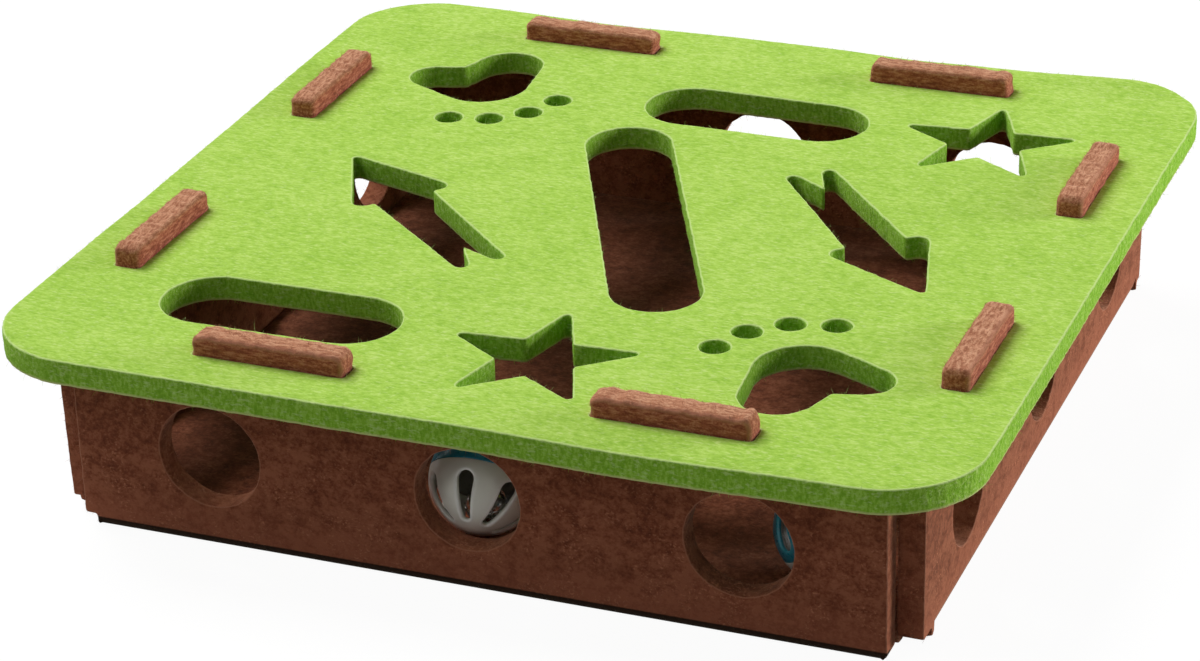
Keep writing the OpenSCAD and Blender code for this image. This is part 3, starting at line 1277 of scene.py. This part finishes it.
@dataclass(frozen=True)
class Paw:
    """Paw cut in the lid: a pad with two heel lobes, and four round toes.

    Attributes:
        at: Middle of the pad's round front.
        turn: Degrees from the X axis to the toes.
        pad_r: Radius of the pad's front.
        heels: Radius of the wide and of the narrow heel lobe.
        heel_reach: Distance of the heel lobes from the pad's middle.
        heel_angle: Degrees of each lobe from the paw's axis.
        toe_r: Radius of a toe.
        toe_reach: Distance of the toes from the pad's middle.
        toe_step: Degrees between toes.
    """

    at: Pair
    turn: float
    pad_r: float = 15.0
    heels: Pair = (11.2, 8.6)
    heel_reach: float = 18.5
    heel_angle: float = 46.0
    toe_r: float = 4.6
    toe_reach: float = 29.7
    toe_step: float = 26.4

    def loops(self) -> list[Floats]:
        """Runs a belt round the pad and circles round the toes.

        The pad's belt dips between the heels to the point p where the inner tangents of the
        front circle cross: n_1 . p = n_2 . p = pad radius.

        Returns:
            The outlines of the pad and of the toes.
        """
        bearing = np.radians([180 - self.heel_angle, 180 + self.heel_angle])
        heel = self.heel_reach * bearings(bearing)
        lean = np.arccos((self.pad_r - np.array(self.heels)) / self.heel_reach)
        inner = bearing + lean * np.array([1.0, -1.0])
        dip = np.linalg.solve(bearings(inner), np.full(2, self.pad_r))
        rounds = [
            (0.0, 0.0, self.pad_r),
            (*heel[0], self.heels[0]),
            (*dip, 0.0),
            (*heel[1], self.heels[1]),
        ]
        angle = np.radians(self.toe_step * (np.arange(4) - 1.5))
        toes = [circle(*toe, self.toe_r) for toe in self.toe_reach * bearings(angle)]
        return [placed(loop, self.at, self.turn) for loop in (belt(rounds), *toes)]


@dataclass(frozen=True)
class Arrow:
    """Notched arrow cut in the lid, along +X from the middle of its tail before it is turned.

    Attributes:
        at: Middle of the tail.
        turn: Degrees from the X axis.
        length: Length from tail to tip.
        head_len: Length of the head.
        head_w: Width of the head.
        shaft_w: Width of the shaft at the head.
        tail_w: Width of the tail.
        notch: Depth of the tail's notch.
        tip_r: Rounding of the tip.
        barb_r: Rounding of the barbs.
        prong_r: Rounding of the tail's prongs.
        root: Place of the prongs' root along and across, in depths of the notch.
        flare: How much wider than the tail the shaft is there, to each side.
    """

    at: Pair
    turn: float
    length: float = 94.5
    head_len: float = 37.5
    head_w: float = 32.0
    shaft_w: float = 20.0
    tail_w: float = 16.6
    notch: float = 14.0
    tip_r: float = 1.2
    barb_r: float = 3.3
    prong_r: float = 2.2
    root: Pair = (1.4, 0.25)
    flare: float = 0.4

    def loops(self) -> list[Floats]:
        """Runs a belt round the arrow, whose notch ends where the prongs' inner tangents cross.

        Returns:
            The arrow's outline.
        """
        neck = self.length - self.head_len
        barb_y = self.head_w / 2 - self.barb_r
        prong = np.array([self.prong_r, self.tail_w / 2 - self.prong_r])
        root = self.notch * np.array(self.root)
        root_r = self.tail_w / 2 - root[1] + self.flare
        run = root - prong
        lean = math.acos((self.prong_r - root_r) / math.hypot(*run))
        inner = math.atan2(run[1], run[0]) - lean
        normal = bearings(inner)
        end = (normal @ prong + self.prong_r) / normal[0]
        share = (neck - root[0]) / (neck + self.barb_r - root[0])
        waist = root[1] + root_r
        shaft = waist + (self.shaft_w / 2 - waist) * share
        upper = [
            (neck + self.barb_r, barb_y, self.barb_r),
            (neck, shaft, 0.0),
            (root[0], waist, 0.0),
            (prong[0], prong[1], self.prong_r),
        ]
        lower = [(x, -y, r) for x, y, r in reversed(upper)]
        rounds = [(self.length - self.tip_r, 0.0, self.tip_r), *upper, (end, 0.0, 0.0), *lower]
        return [placed(belt(rounds), self.at, self.turn)]


@dataclass
class Lid:
    """Square felt lid with cut-out figures and a slot for each wall tab.

    Attributes:
        side: Length of a side.
        thickness: Thickness of the felt.
        corners: Middle and radius of each rounded corner, anticlockwise from the right front.
        level: Height of its underside.
        tab_ring: Distance of the tab slots' middles from the middle of the lid.
        tab_pitch: Distance between the two slots on a side.
        tab_slot: Length and width of a slot.
        rest: Distance of the walls' outer faces from the middle, where the lid's rim begins.
        swell: How far the whole lid swells up or down.
        swell_seed: Seed of that.
        curls: X, Y and reach of the places where the rim curls, and how far up or down.
        fuzz: Loose fibres of the cuts.
        figures: Figures cut through the lid.
    """

    side: float = 300.0
    thickness: float = FELT_THICKNESS
    corners: tuple[Triple, ...] = (
        (120.0, -120.0, 30.0),
        (124.0, 124.0, 26.0),
        (-123.2, 122.0, 28.0),
        (-120.4, -120.0, 30.0),
    )
    level: float = 55.0
    tab_ring: float = 129.5
    tab_pitch: float = 124.5
    tab_slot: Pair = (48.2, 8.15)
    rest: float = 133.5
    swell: float = 0.12
    swell_seed: int = 5
    curls: tuple[tuple[float, float, float, float], ...] = (
        (52.0, -150.0, 38.0, -0.9),
        (-66.0, 150.0, 30.0, -1.0),
        (46.0, 150.0, 16.0, -0.6),
        (122.0, 148.0, 26.0, 1.7),
        (-150.0, 100.0, 45.0, 0.5),
    )
    fuzz: Fuzz = Fuzz(1.9)
    figures: tuple[Slot | Star | Paw | Arrow, ...] = (
        Slot((4.0, -1.0), 140.0, 28.0, 115.0),
        Slot((11.6, 86.0), 76.0, 31.0),
        Slot((-73.3, -98.3), 76.0, 31.0),
        Star((90.0, 86.0)),
        Star((11.0, -103.5)),
        Paw((-85.0, 83.0), -50.4),
        Paw((86.0, -87.0), 129.6),
        Arrow((-29.2, -49.8), 138.7),
        Arrow((43.4, 45.4), -50.8),
    )

    def board(self) -> FeltBoard:
        """Lays out the lid's felt with all its cut-outs.

        Returns:
            The lid's board, seen from above.
        """
        slots = []
        for side, fit in WALL_FITS.items():
            for end, tab, lean in zip((-1, 1), fit.tabs, fit.lean):
                along = end * self.tab_pitch / 2 + tab
                slot = rectangle(along, -self.tab_ring - lean, *self.tab_slot)
                slots.append(placed(slot, (0, 0), 90 * side.value))
        cuts = [loop for figure in self.figures for loop in figure.loops()]
        return FeltBoard(
            belt(self.corners),
            slots + cuts,
            self.thickness,
            seed=11,
            step=0.85,
            edge_r=0.7,
            uneven=0.06,
        )

    def sag(self, points: Floats) -> Floats:
        """Gives how far the felt lies above or below its plane at each place.

        The whole lid swells by a tenth of a millimetre, and each curl of the rim lifts it by
        c exp(-(d / r)^2) t^1.5, with d the distance from the curl's place, r its reach, and t
        from 0 over the wall to 1 at the edge.

        Args:
            points: Places on the lid.

        Returns:
            One height per place.
        """
        reach = np.abs(points[:, :2]).max(axis=1)
        out = np.clip((reach - self.rest) / (self.side / 2 - self.rest), 0.0, 1.2)
        x, y, spread, rise = np.array(self.curls).T
        apart = np.hypot(points[:, :1] - x, points[:, 1:2] - y)
        curl = (rise * np.exp(-((apart / spread) ** 2))).sum(axis=1) * out**1.5
        return self.swell * LID_SWELL.heights(points[:, :2], self.swell_seed) + curl

    def lay(self, points: Floats) -> Floats:
        """Lays places on the board over the walls, with the lid's sag."""
        return points + np.array([0.0, 0.0, 1.0]) * (self.level + self.sag(points))[:, None]

    def build(self, material: Material) -> list[Piece]:
        """Builds and dresses the lid.

        Args:
            material: Felt of the lid.

        Returns:
            The lid's pieces.
        """
        pieces = self.board().pieces("lid", self.fuzz, self.lay, material)
        for piece in pieces:
            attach(piece, "lid")
        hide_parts("lid")
        return pieces


# Felt tray


@dataclass
class Tray:
    """Tray folded up from one felt blank: a floor, and four walls with holes and tabs.

    Attributes:
        out: Half the outer width.
        thickness: Thickness of the felt.
        wall_half: Half the length of a wall.
        wall_h: Height of the walls' shoulders.
        floor_half: Half the length of the floor's edges at the folds.
        tab_len: Length of a tab.
        tab_pitch: Distance between a wall's two tabs.
        tab_h: Height of a tab above the shoulder.
        tab_r: Radius of a tab's upper corners.
        lid_t: Thickness of the lid that the tabs stand through.
        wear_below: How far below the lid's upper face the tabs' wear begins.
        hole_r: Radius of the round holes.
        hole_pitch: Distance between holes.
        hole_z: Height of the holes' middles.
        fuzz: Loose fibres of the cuts.
    """

    out: float = 133.5
    thickness: float = FELT_THICKNESS
    wall_half: float = 125.4
    wall_h: float = 55.0
    floor_half: float = 122.1
    tab_len: float = 48.0
    tab_pitch: float = 124.5
    tab_h: float = 14.2
    tab_r: float = 2.6
    lid_t: float = FELT_THICKNESS
    wear_below: float = 2.0
    hole_r: float = 16.25
    hole_pitch: float = 82.0
    hole_z: float = 29.5
    fuzz: Fuzz = Fuzz(2.0)

    def wall_outline(self, fit: WallFit) -> Floats:
        """Gives a wall's outer edge seen from outside, with its tabs and its relieved fold.

        Args:
            fit: How the wall came out.

        Returns:
            Points of the edge, anticlockwise.
        """
        w, (left, right), (low, high) = self.wall_half, fit.fold_ends, fit.rises
        top = self.wall_h + self.tab_h - self.tab_r
        rounds = [(-left, 0, 0), (right, 0, 0), (right, high, 0), (w, high, 0), (w, self.wall_h, 0)]
        for s, off in ((1, fit.tabs[1]), (-1, fit.tabs[0])):
            a = s * self.tab_pitch / 2 + self.tab_len / 2 + off
            b = a - self.tab_len
            rounds += [
                (a, self.wall_h, 0),
                (a - self.tab_r, top, self.tab_r),
                (b + self.tab_r, top, self.tab_r),
                (b, self.wall_h, 0),
            ]
        rounds += [(-w, self.wall_h, 0), (-w, low, 0), (-left, low, 0)]
        return belt(rounds)

    def wall(self, side: Side) -> FeltBoard:
        """Lays out one wall's felt.

        Args:
            side: Which wall it is.

        Returns:
            The wall's board, seen from outside.
        """
        fit = WALL_FITS[side]
        holes = [
            circle(k * self.hole_pitch + off, self.hole_z, self.hole_r)
            for k, off in zip((-1, 0, 1), fit.holes)
        ]
        return FeltBoard(
            self.wall_outline(fit),
            holes,
            self.thickness,
            seed=100 + 10 * side.value,
            step=0.7,
            spacing=2.5,
            edge_r=0.5,
            open_cut=0.05,
            uneven=0.05,
            fold_r=fit.fold_r,
            fold_ends=fit.fold_ends,
            # Only the front wall gets the painted shade at its foot
            shade_painted_at_foot=side is Side.FRONT,
            soft_above=self.wall_h + self.lid_t - self.wear_below,
            soft_r=1.7,
        )

    def stand(self, side: Side, points: Floats) -> Floats:
        """Stands places on a wall's board up on their side of the tray.

        The wall leans out by its fit's lean, times the square root of the height's share of
        the height of the lid's upper face.

        Args:
            side: Which wall it is.
            points: Places on its board.

        Returns:
            Places in the object's frame.
        """
        u, v, w = points.T
        lean = WALL_FITS[side].stands_out(u, self.tab_pitch)
        w = w + lean * np.sqrt(np.clip(v / (self.wall_h + self.lid_t), 0.0, None))
        front = np.column_stack([u, -(self.out - self.thickness) - w, v])
        front[:, :2] = placed(front[:, :2], (0, 0), 90 * side.value)
        return front

    def build_wall(self, side: Side, material: Material) -> list[Piece]:
        """Builds one wall on its side of the tray.

        Args:
            side: Which wall it is.
            material: Felt of the tray.

        Returns:
            The wall's felt and its fuzz.
        """
        node = f"{side.name.lower()}_wall"
        pieces = self.wall(side).pieces(node, self.fuzz, partial(self.stand, side), material)
        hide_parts(node)
        return pieces

    def build_floor(self, material: Material) -> Piece:
        """Builds the floor between the folds, its corners cut back.

        Args:
            material: Felt of the tray.

        Returns:
            The floor's piece.
        """
        a, b = self.out - self.thickness, self.floor_half
        corners = [(-b, -a), (b, -a), (b, -b)]
        for _ in range(3):
            corners += [(-y, x) for x, y in corners[-3:]]
        outline = belt([(x, y, 0.0) for x, y in corners])
        board = FeltBoard(outline, [], self.thickness, seed=160, edge_r=0.1, corner=0.2, step=0.8)
        points, faces, marks = board.build()
        piece = make_piece("floor_felt", points, faces, material, marks=marks)
        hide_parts("floor_panel")
        return piece

    def build(self, material: Material) -> list[Piece]:
        """Builds and dresses the tray.

        Args:
            material: Felt of the tray.

        Returns:
            The tray's pieces.
        """
        pieces = [self.build_floor(material)]
        for side in Side:
            pieces += self.build_wall(side, material)
        for piece in pieces:
            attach(piece, "tray")
        return pieces


# Bell balls


# Points along each arc and each straight run of a slot and of its sector's border
ARC_POINTS = 13
RUN_POINTS = 15
# How far each row of points over a slot's edge belongs to its lip, which is painted paler as a
# highlight
LIP_HIGHLIGHT_MARKS = (0.3, 0.8, 1.0, 1.0, 0.6, 0.2)
# Distance within which the points of a shell become one
SHELL_WELD = 0.002


@dataclass
class BellBall:
    """Slotted ball of two snapped halves with a jingle bell loose inside.

    Attributes:
        number: Number of the ball, as in the names of its nodes.
        turn: Degrees of spin about its own axis, of the white pole's lean from +Z, and of the
            heading of that lean.
        radius: Outer radius.
        shell: Thickness of the shell.
        slots: Number of slots round each half.
        slot_ends: Degrees from the pole to the wide and to the narrow end.
        slot_radii: Radius of the wide and of the narrow end.
        lip_h: Height of the lip at the rim.
        lip_round: Rounding of the slots' outer lips.
        rim_round: Rounding of the rim.
        inner_round: Rounding of the slots' inner edges.
        cap: Degrees from the pole to the slotted sectors.
        play: Play between the halves' rims.
    """

    number: int
    turn: Triple
    radius: float = 16.5
    shell: float = 1.6
    slots: int = 7
    slot_ends: Pair = (67.5, 27.0)
    slot_radii: Pair = (2.4, 1.1)
    lip_h: float = 1.6
    lip_round: float = 0.9
    rim_round: float = 0.25
    inner_round: float = 0.3
    cap: float = 13.0
    play: float = 0.1

    @property
    def middle(self) -> Floats:
        """Middle of the ball, which is where the frame's joint turns it."""
        joints = {joint["name"]: joint for joint in frame["record"]["behaviour"]["joints"]}
        return np.array(joints[f"ball_{self.number}_turn"]["pos_m"]) / METRES

    @property
    def slot_middle(self) -> float:
        """Angle from the pole to the axis of a slot."""
        return math.radians(sum(self.slot_ends) / 2)

    def slot_ring(self, offset: Floats, ball_r: Floats) -> Floats:
        """Follows the slot's outline on spheres about the ball's middle.

        In the plane across the slot's axis the outline is two arcs and their tangents, moved
        out by an offset d; a point (x, y) then lies at height sqrt(ball_r^2 - x^2 - y^2).

        Args:
            offset: Offset of each ring from the cut.
            ball_r: Radius of the sphere that carries each ring.

        Returns:
            Places as a grid of (ring, point, axis), in the slot's own frame with +Z outwards.
        """
        ends = self.radius * np.sin(np.radians(self.slot_ends) - self.slot_middle)
        wide, narrow = self.slot_radii
        lean = math.pi - math.acos((wide - narrow) / (ends[0] - ends[1]))
        first = np.linspace(-lean, lean, ARC_POINTS)
        second = np.linspace(lean, math.tau - lean, ARC_POINTS)
        share = np.linspace(0.0, 1.0, RUN_POINTS + 2)[1:-1]
        up, down = np.full(RUN_POINTS, lean), np.full(RUN_POINTS, -lean)
        away = bearings(np.concatenate([first, up, second, down]))
        mix = np.concatenate([np.zeros(ARC_POINTS), share, np.ones(ARC_POINTS), share[::-1]])
        base_r = wide + (narrow - wide) * mix
        middle_x = ends[0] + (ends[1] - ends[0]) * mix
        centre = np.stack([middle_x, 0 * middle_x], axis=-1)
        flat = centre + away * (base_r + offset[:, None])[..., None]
        height = np.sqrt(ball_r[:, None] ** 2 - (flat**2).sum(axis=-1))
        return np.concatenate([flat, height[..., None]], axis=-1)

    def sector_edge(self, rim: float, ball_r: float) -> Floats:
        """Follows one sector's border: along the rim, up a meridian, round the cap and down.

        Args:
            rim: Angle from the pole to the border's lower side.
            ball_r: Radius of the sphere.

        Returns:
            Places of the border's points in the half's frame, slot at azimuth 0.
        """
        half, cap = math.pi / self.slots, math.radians(self.cap)
        across = np.linspace(-half, half, ARC_POINTS)
        along = np.linspace(rim, cap, RUN_POINTS + 2)[1:-1]
        up, down = np.full(RUN_POINTS, half), np.full(RUN_POINTS, -half)
        azimuth = np.concatenate([across, up, across[::-1], down])
        polar = np.concatenate([np.full(ARC_POINTS, rim), along, np.full(ARC_POINTS, cap), along[::-1]])
        flat = np.sin(polar)[:, None] * bearings(azimuth)
        return ball_r * np.column_stack([flat, np.cos(polar)])

    def sectors(self, rim_out: float, rim_in: float) -> tuple[Floats, Floats]:
        """Builds the slotted sectors round the half's axis.

        Each sector is one grid: from its border on the outer sphere it closes in on the slot,
        rolls over the lip, runs through the wall and opens out again on the inner sphere.

        Args:
            rim_out: Angle from the pole to the rim on the outer sphere.
            rim_in: Angle from the pole to the rim on the inner sphere.

        Returns:
            Places as a grid of (sector, row, column, axis), and a mark of 1 on the rows of the
            slots' outer lips, where a highlight is painted.
        """
        outer, inner = self.radius, self.radius - self.shell
        roll = np.linspace(0.0, math.pi / 2, len(LIP_HIGHLIGHT_MARKS) - 1)
        lip, soft = self.lip_round, self.inner_round
        offset = np.concatenate([lip * (1 - np.sin(roll)), soft * (1 - np.sin(roll[::-1]))])
        ball_r = np.concatenate([
            outer - lip * (1 - np.cos(roll)),
            inner + soft * (1 - np.cos(roll[::-1])),
        ])
        m = self.slot_middle
        lean = np.array([[math.cos(m), 0, math.sin(m)], [0, 1, 0], [-math.sin(m), 0, math.cos(m)]])
        ring = self.slot_ring(offset, ball_r) @ lean.T
        share = np.linspace(1.0, 0.0, 7)[:-1, None, None] ** 1.2
        far = share * self.sector_edge(rim_out, outer) + (1 - share) * ring[0]
        near = share[::-1] * self.sector_edge(rim_in, inner) + (1 - share[::-1]) * ring[-1]
        far *= outer / np.linalg.norm(far, axis=-1, keepdims=True)
        near *= inner / np.linalg.norm(near, axis=-1, keepdims=True)
        sector = np.concatenate([far, ring, near])
        pale_edge_highlight = np.zeros(len(sector))
        pale_edge_highlight[len(far) - 1 : len(far) + len(roll)] = LIP_HIGHLIGHT_MARKS
        azimuth = math.tau * np.arange(self.slots) / self.slots
        c, s = np.cos(azimuth)[:, None, None], np.sin(azimuth)[:, None, None]
        x, y, z = np.moveaxis(sector, -1, 0)
        level = np.broadcast_to(z, (self.slots, *z.shape))
        return np.stack([c * x - s * y, s * x + c * y, level], axis=-1), pale_edge_highlight

    def half_mesh(self, half: Half) -> tuple[Floats, Faces, Floats]:
        """Builds one slotted half with its pole towards +Z.

        Caps at the pole and a profile turned about the axis at the rim close the slotted
        sectors into one shell.

        Args:
            half: Which half it is, for the step at its rim.

        Returns:
            Places in the half's frame, faces, anticlockwise from outside, and a mark of 1 on
            the slots' outer lips, where a highlight is painted.
        """
        outer, inner = self.radius, self.radius - self.shell
        play = 0.0 if half is Half.WHITE else self.play
        inside_rim = self.lip_h if half is Half.WHITE else self.play - self.lip_h
        rim_out, rim_in = math.acos(self.rim_round / outer), math.acos(inside_rim / inner)
        sectors, pale_edge_highlight = self.sectors(rim_out, rim_in)
        rows, columns = sectors.shape[1:3]
        points = [sectors.reshape(-1, 3)]
        lips = [np.tile(np.repeat(pale_edge_highlight, columns), self.slots)]
        faces = [grid_faces(rows, columns, False, True, k * rows * columns) for k in range(self.slots)]
        steps = (ARC_POINTS - 1) * self.slots
        around = math.pi / self.slots + math.tau * np.arange(steps) / steps
        tilt = np.linspace(0.0, math.radians(self.cap), 5)
        turn = np.linspace(0.0, math.pi / 2, 4)[1:]
        step_r = outer - self.shell / 2 - play
        rim_r = np.concatenate([
            [outer * math.sin(rim_out)],
            outer - self.rim_round * (1 - np.cos(turn)),
            [step_r, step_r, inner * math.sin(rim_in)],
        ])
        rim_z = np.concatenate([
            [self.rim_round],
            self.rim_round * (1 - np.sin(turn)),
            [0.0, inside_rim, inside_rim],
        ])
        profiles = [
            (outer * np.sin(tilt), outer * np.cos(tilt), False),
            (inner * np.sin(tilt), inner * np.cos(tilt), True),
            (rim_r, rim_z, False),
        ]
        start = len(points[0])
        for radius, height, flip in profiles:
            level = np.broadcast_to(height[:, None], (len(radius), steps))
            grid = np.dstack([radius[:, None, None] * bearings(around), level])
            joined = grid_faces(len(radius), steps, False, True, start)
            faces.append(joined if flip else joined[:, ::-1])
            points.append(grid.reshape(-1, 3))
            lips.append(np.zeros(len(points[-1])))
            start += len(points[-1])
        return np.concatenate(points), np.concatenate(faces).tolist(), np.concatenate(lips)

    def build_half(self, half: Half, material: Material) -> Piece:
        """Builds one half in its place.

        Args:
            half: Which half it is.
            material: Plastic of the half.

        Returns:
            The half's piece.
        """
        points, faces, lips = self.half_mesh(half)
        # Marks the inner side of the shell, where shade is painted
        inside = (np.linalg.norm(points, axis=1) < self.radius - 0.75 * self.shell).astype(float)
        if half is Half.BLUE:
            points = points * np.array([1.0, 1.0, -1.0])
            faces = [face[::-1] for face in faces]
        turns = zip(np.radians(self.turn), "ZYZ")
        spin, lean, heading = (Matrix.Rotation(angle, 3, axis) for angle, axis in turns)
        points = points @ np.array(heading @ lean @ spin).T + self.middle
        node = f"ball_{self.number}_{half.name.lower()}_half"
        marks = {"inside": inside, "lip": lips}
        piece = make_piece(f"{node}_shell", points, faces, material, weld=SHELL_WELD, marks=marks)
        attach(piece, f"ball_{self.number}")
        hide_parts(node)
        return piece

    def build(self, plastics: dict[Half, Material], metal: Material) -> list[Piece]:
        """Builds and dresses the ball, its bell and its pellet.

        Args:
            plastics: Plastic of each half.
            metal: Metal of the bell and pellet.

        Returns:
            The ball's pieces.
        """
        pieces = [self.build_half(half, plastics[half]) for half in Half]
        for name in ("bell", "pellet"):
            node = frame["nodes"][f"{name}_{self.number}"]
            node.data.materials.clear()
            node.data.materials.append(metal)
            pieces.append(node)
        return pieces


# Studio


@dataclass(frozen=True)
class Lamp:
    """Square soft box that faces the object.

    Attributes:
        name: Name of the light.
        at: Place in metres.
        size: Side of the soft box in metres.
        power: Watts.
        tone: Colour of the light.
    """

    name: str
    at: Triple
    size: float
    power: float
    tone: Colour = (1.0, 0.99, 0.97)

    def hang(self) -> None:
        """Hangs the soft box with its -Z axis towards the object."""
        data = bpy.data.lights.new(self.name, "AREA")
        data.shape = "SQUARE"
        data.size = self.size
        data.energy = self.power
        data.color = self.tone
        back = np.array(self.at) / np.linalg.norm(self.at)
        across = np.cross([0.0, 1.0, 0.0], back)
        across /= np.linalg.norm(across)
        turn = Matrix(np.column_stack([across, np.cross(back, across), back]).tolist())
        lamp = bpy.data.objects.new(self.name, data)
        lamp.matrix_world = Matrix.Translation(self.at) @ turn.to_4x4()
        bpy.context.scene.collection.objects.link(lamp)


@dataclass
class Studio:
    """Pale floor, soft lights and the camera.

    Attributes:
        azimuth: Degrees of the camera round from the front.
        elevation: Degrees of the camera above the floor.
        roll: Degrees by which the camera leans.
        distance: Distance of the camera from the origin.
        focal: Focal length in photograph pixels.
        shift: How far the picture's middle lies right and down of the lens's axis, in pixels.
        floor_half: Half the side of the floor.
        floor_level: Height of the floor, a hair below the tray.
        paper: Grey of the floor as it lights the object.
        shadow: Grey of the floor's own shadows as they are seen.
        glow: Brightness that is added to them.
        sky: Brightness of the sky as it lights the object.
        lamps: Soft boxes.
    """

    azimuth: float = 21.43
    elevation: float = 26.96
    roll: float = -1.37
    distance: float = 1150.0
    focal: float = 3598.0
    shift: Pair = (35.3, 60.6)
    floor_half: float = 4000.0
    floor_level: float = -0.05
    paper: float = 0.45
    shadow: float = 0.08
    glow: float = 0.95
    sky: float = 0.10
    lamps: tuple[Lamp, ...] = (
        Lamp("top_light", (-2.2, 1.1, 3.2), 2.3, 155.0),
        Lamp("side_light", (1.2, 0.6, 0.27), 0.45, 13.2),
        Lamp("front_light", (-1.9, -1.9, 2.7), 2.0, 20.0),
    )

    def build_camera(self) -> None:
        """Places the camera at the photograph's angle and frames it for the photograph's size."""
        a, e, r = np.radians([self.azimuth, self.elevation, self.roll])
        ahead = np.array([-np.sin(a) * np.cos(e), np.cos(a) * np.cos(e), -np.sin(e)])
        right = np.cross(ahead, [0.0, 0.0, 1.0])
        right /= np.linalg.norm(right)
        up = np.cross(right, ahead)
        across, upward = right * np.cos(r) + up * np.sin(r), up * np.cos(r) - right * np.sin(r)
        place = np.eye(4)
        place[:3, :3] = np.column_stack([across, upward, -ahead])
        place[:3, 3] = -ahead * self.distance * METRES
        data = bpy.data.cameras.new("camera")
        data.sensor_width = 36.0
        data.lens = self.focal / PHOTO_WIDTH * data.sensor_width
        data.shift_x = -self.shift[0] / PHOTO_WIDTH
        data.shift_y = self.shift[1] / PHOTO_WIDTH
        data.clip_start = 0.05
        data.clip_end = 20.0
        camera = bpy.data.objects.new("camera", data)
        camera.matrix_world = Matrix(place.tolist())
        bpy.context.scene.collection.objects.link(camera)
        bpy.context.scene.camera = camera

    def build_floor(self) -> None:
        """Lays a wide pale floor that keeps the object's shadow and is clear from below."""
        g = Graph(bpy.data.materials.new("studio_floor"))
        paper = g.node("BsdfDiffuse", {"Color": rgba((self.paper,) * 3)})
        shadow = g.node("BsdfDiffuse", {"Color": rgba((self.shadow,) * 3)})
        glow = g.node("Emission", {"Color": rgba(WHITE), "Strength": self.glow})
        both = g.node("AddShader", {0: shadow.outputs[0], 1: glow.outputs[0]})
        mixed = g.node("MixShader", {0: g.seen(), 1: paper.outputs[0], 2: both.outputs[0]})
        clear = g.node("BsdfTransparent")
        under = g.node("NewGeometry").outputs["Backfacing"]
        sided = g.node("MixShader", {0: under, 1: mixed.outputs[0], 2: clear.outputs[0]})
        material = g.finish(sided.outputs[0])
        signs = np.array([[-1, -1], [1, -1], [1, 1], [-1, 1]])
        corners = np.column_stack([self.floor_half * signs, np.full(4, self.floor_level)])
        floor = make_piece("studio_floor", corners, [[0, 1, 2, 3]], material)

    def build_world(self) -> None:
        """Surrounds the object with an even sky that looks white to the camera."""
        world = bpy.data.worlds.new("studio_sky")
        bpy.context.scene.world = world
        g = Graph(world)
        sky = g.node("Background", {"Color": rgba(WHITE), "Strength": self.sky})
        white = g.node("Background", {"Color": rgba(WHITE), "Strength": 1.0})
        mixed = g.node("MixShader", {0: g.seen(), 1: sky.outputs[0], 2: white.outputs[0]})
        g.finish(mixed.outputs[0])

    def build(self) -> None:
        """Sets up the whole studio."""
        bpy.context.scene.view_settings.view_transform = "Standard"
        self.build_camera()
        self.build_floor()
        for lamp in self.lamps:
            lamp.hang()
        self.build_world()


def main() -> None:
    """Builds the box's sub-assemblies and the studio."""
    logging.basicConfig(level=logging.INFO, format="%(name)s: %(message)s")
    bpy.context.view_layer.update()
    felts = GREEN_FELT.material(), BROWN_FELT.material()
    plastics = {Half.WHITE: WHITE_PLASTIC.material(), Half.BLUE: BLUE_PLASTIC.material()}
    metal = BELL_METAL.material()
    pieces = Lid().build(felts[0]) + Tray().build(felts[1])
    balls = [
        BellBall(1, (27.5, 130.5, -87.5)),
        BellBall(2, (42.0, 142.0, 0.0)),
    ]
    for ball in balls:
        pieces += ball.build(plastics, metal)
    for piece in pieces:
        LOG.info("%s: %d faces", piece.name, len(piece.data.polygons))
    Studio().build()
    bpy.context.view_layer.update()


if __name__ == "__main__":
    main()
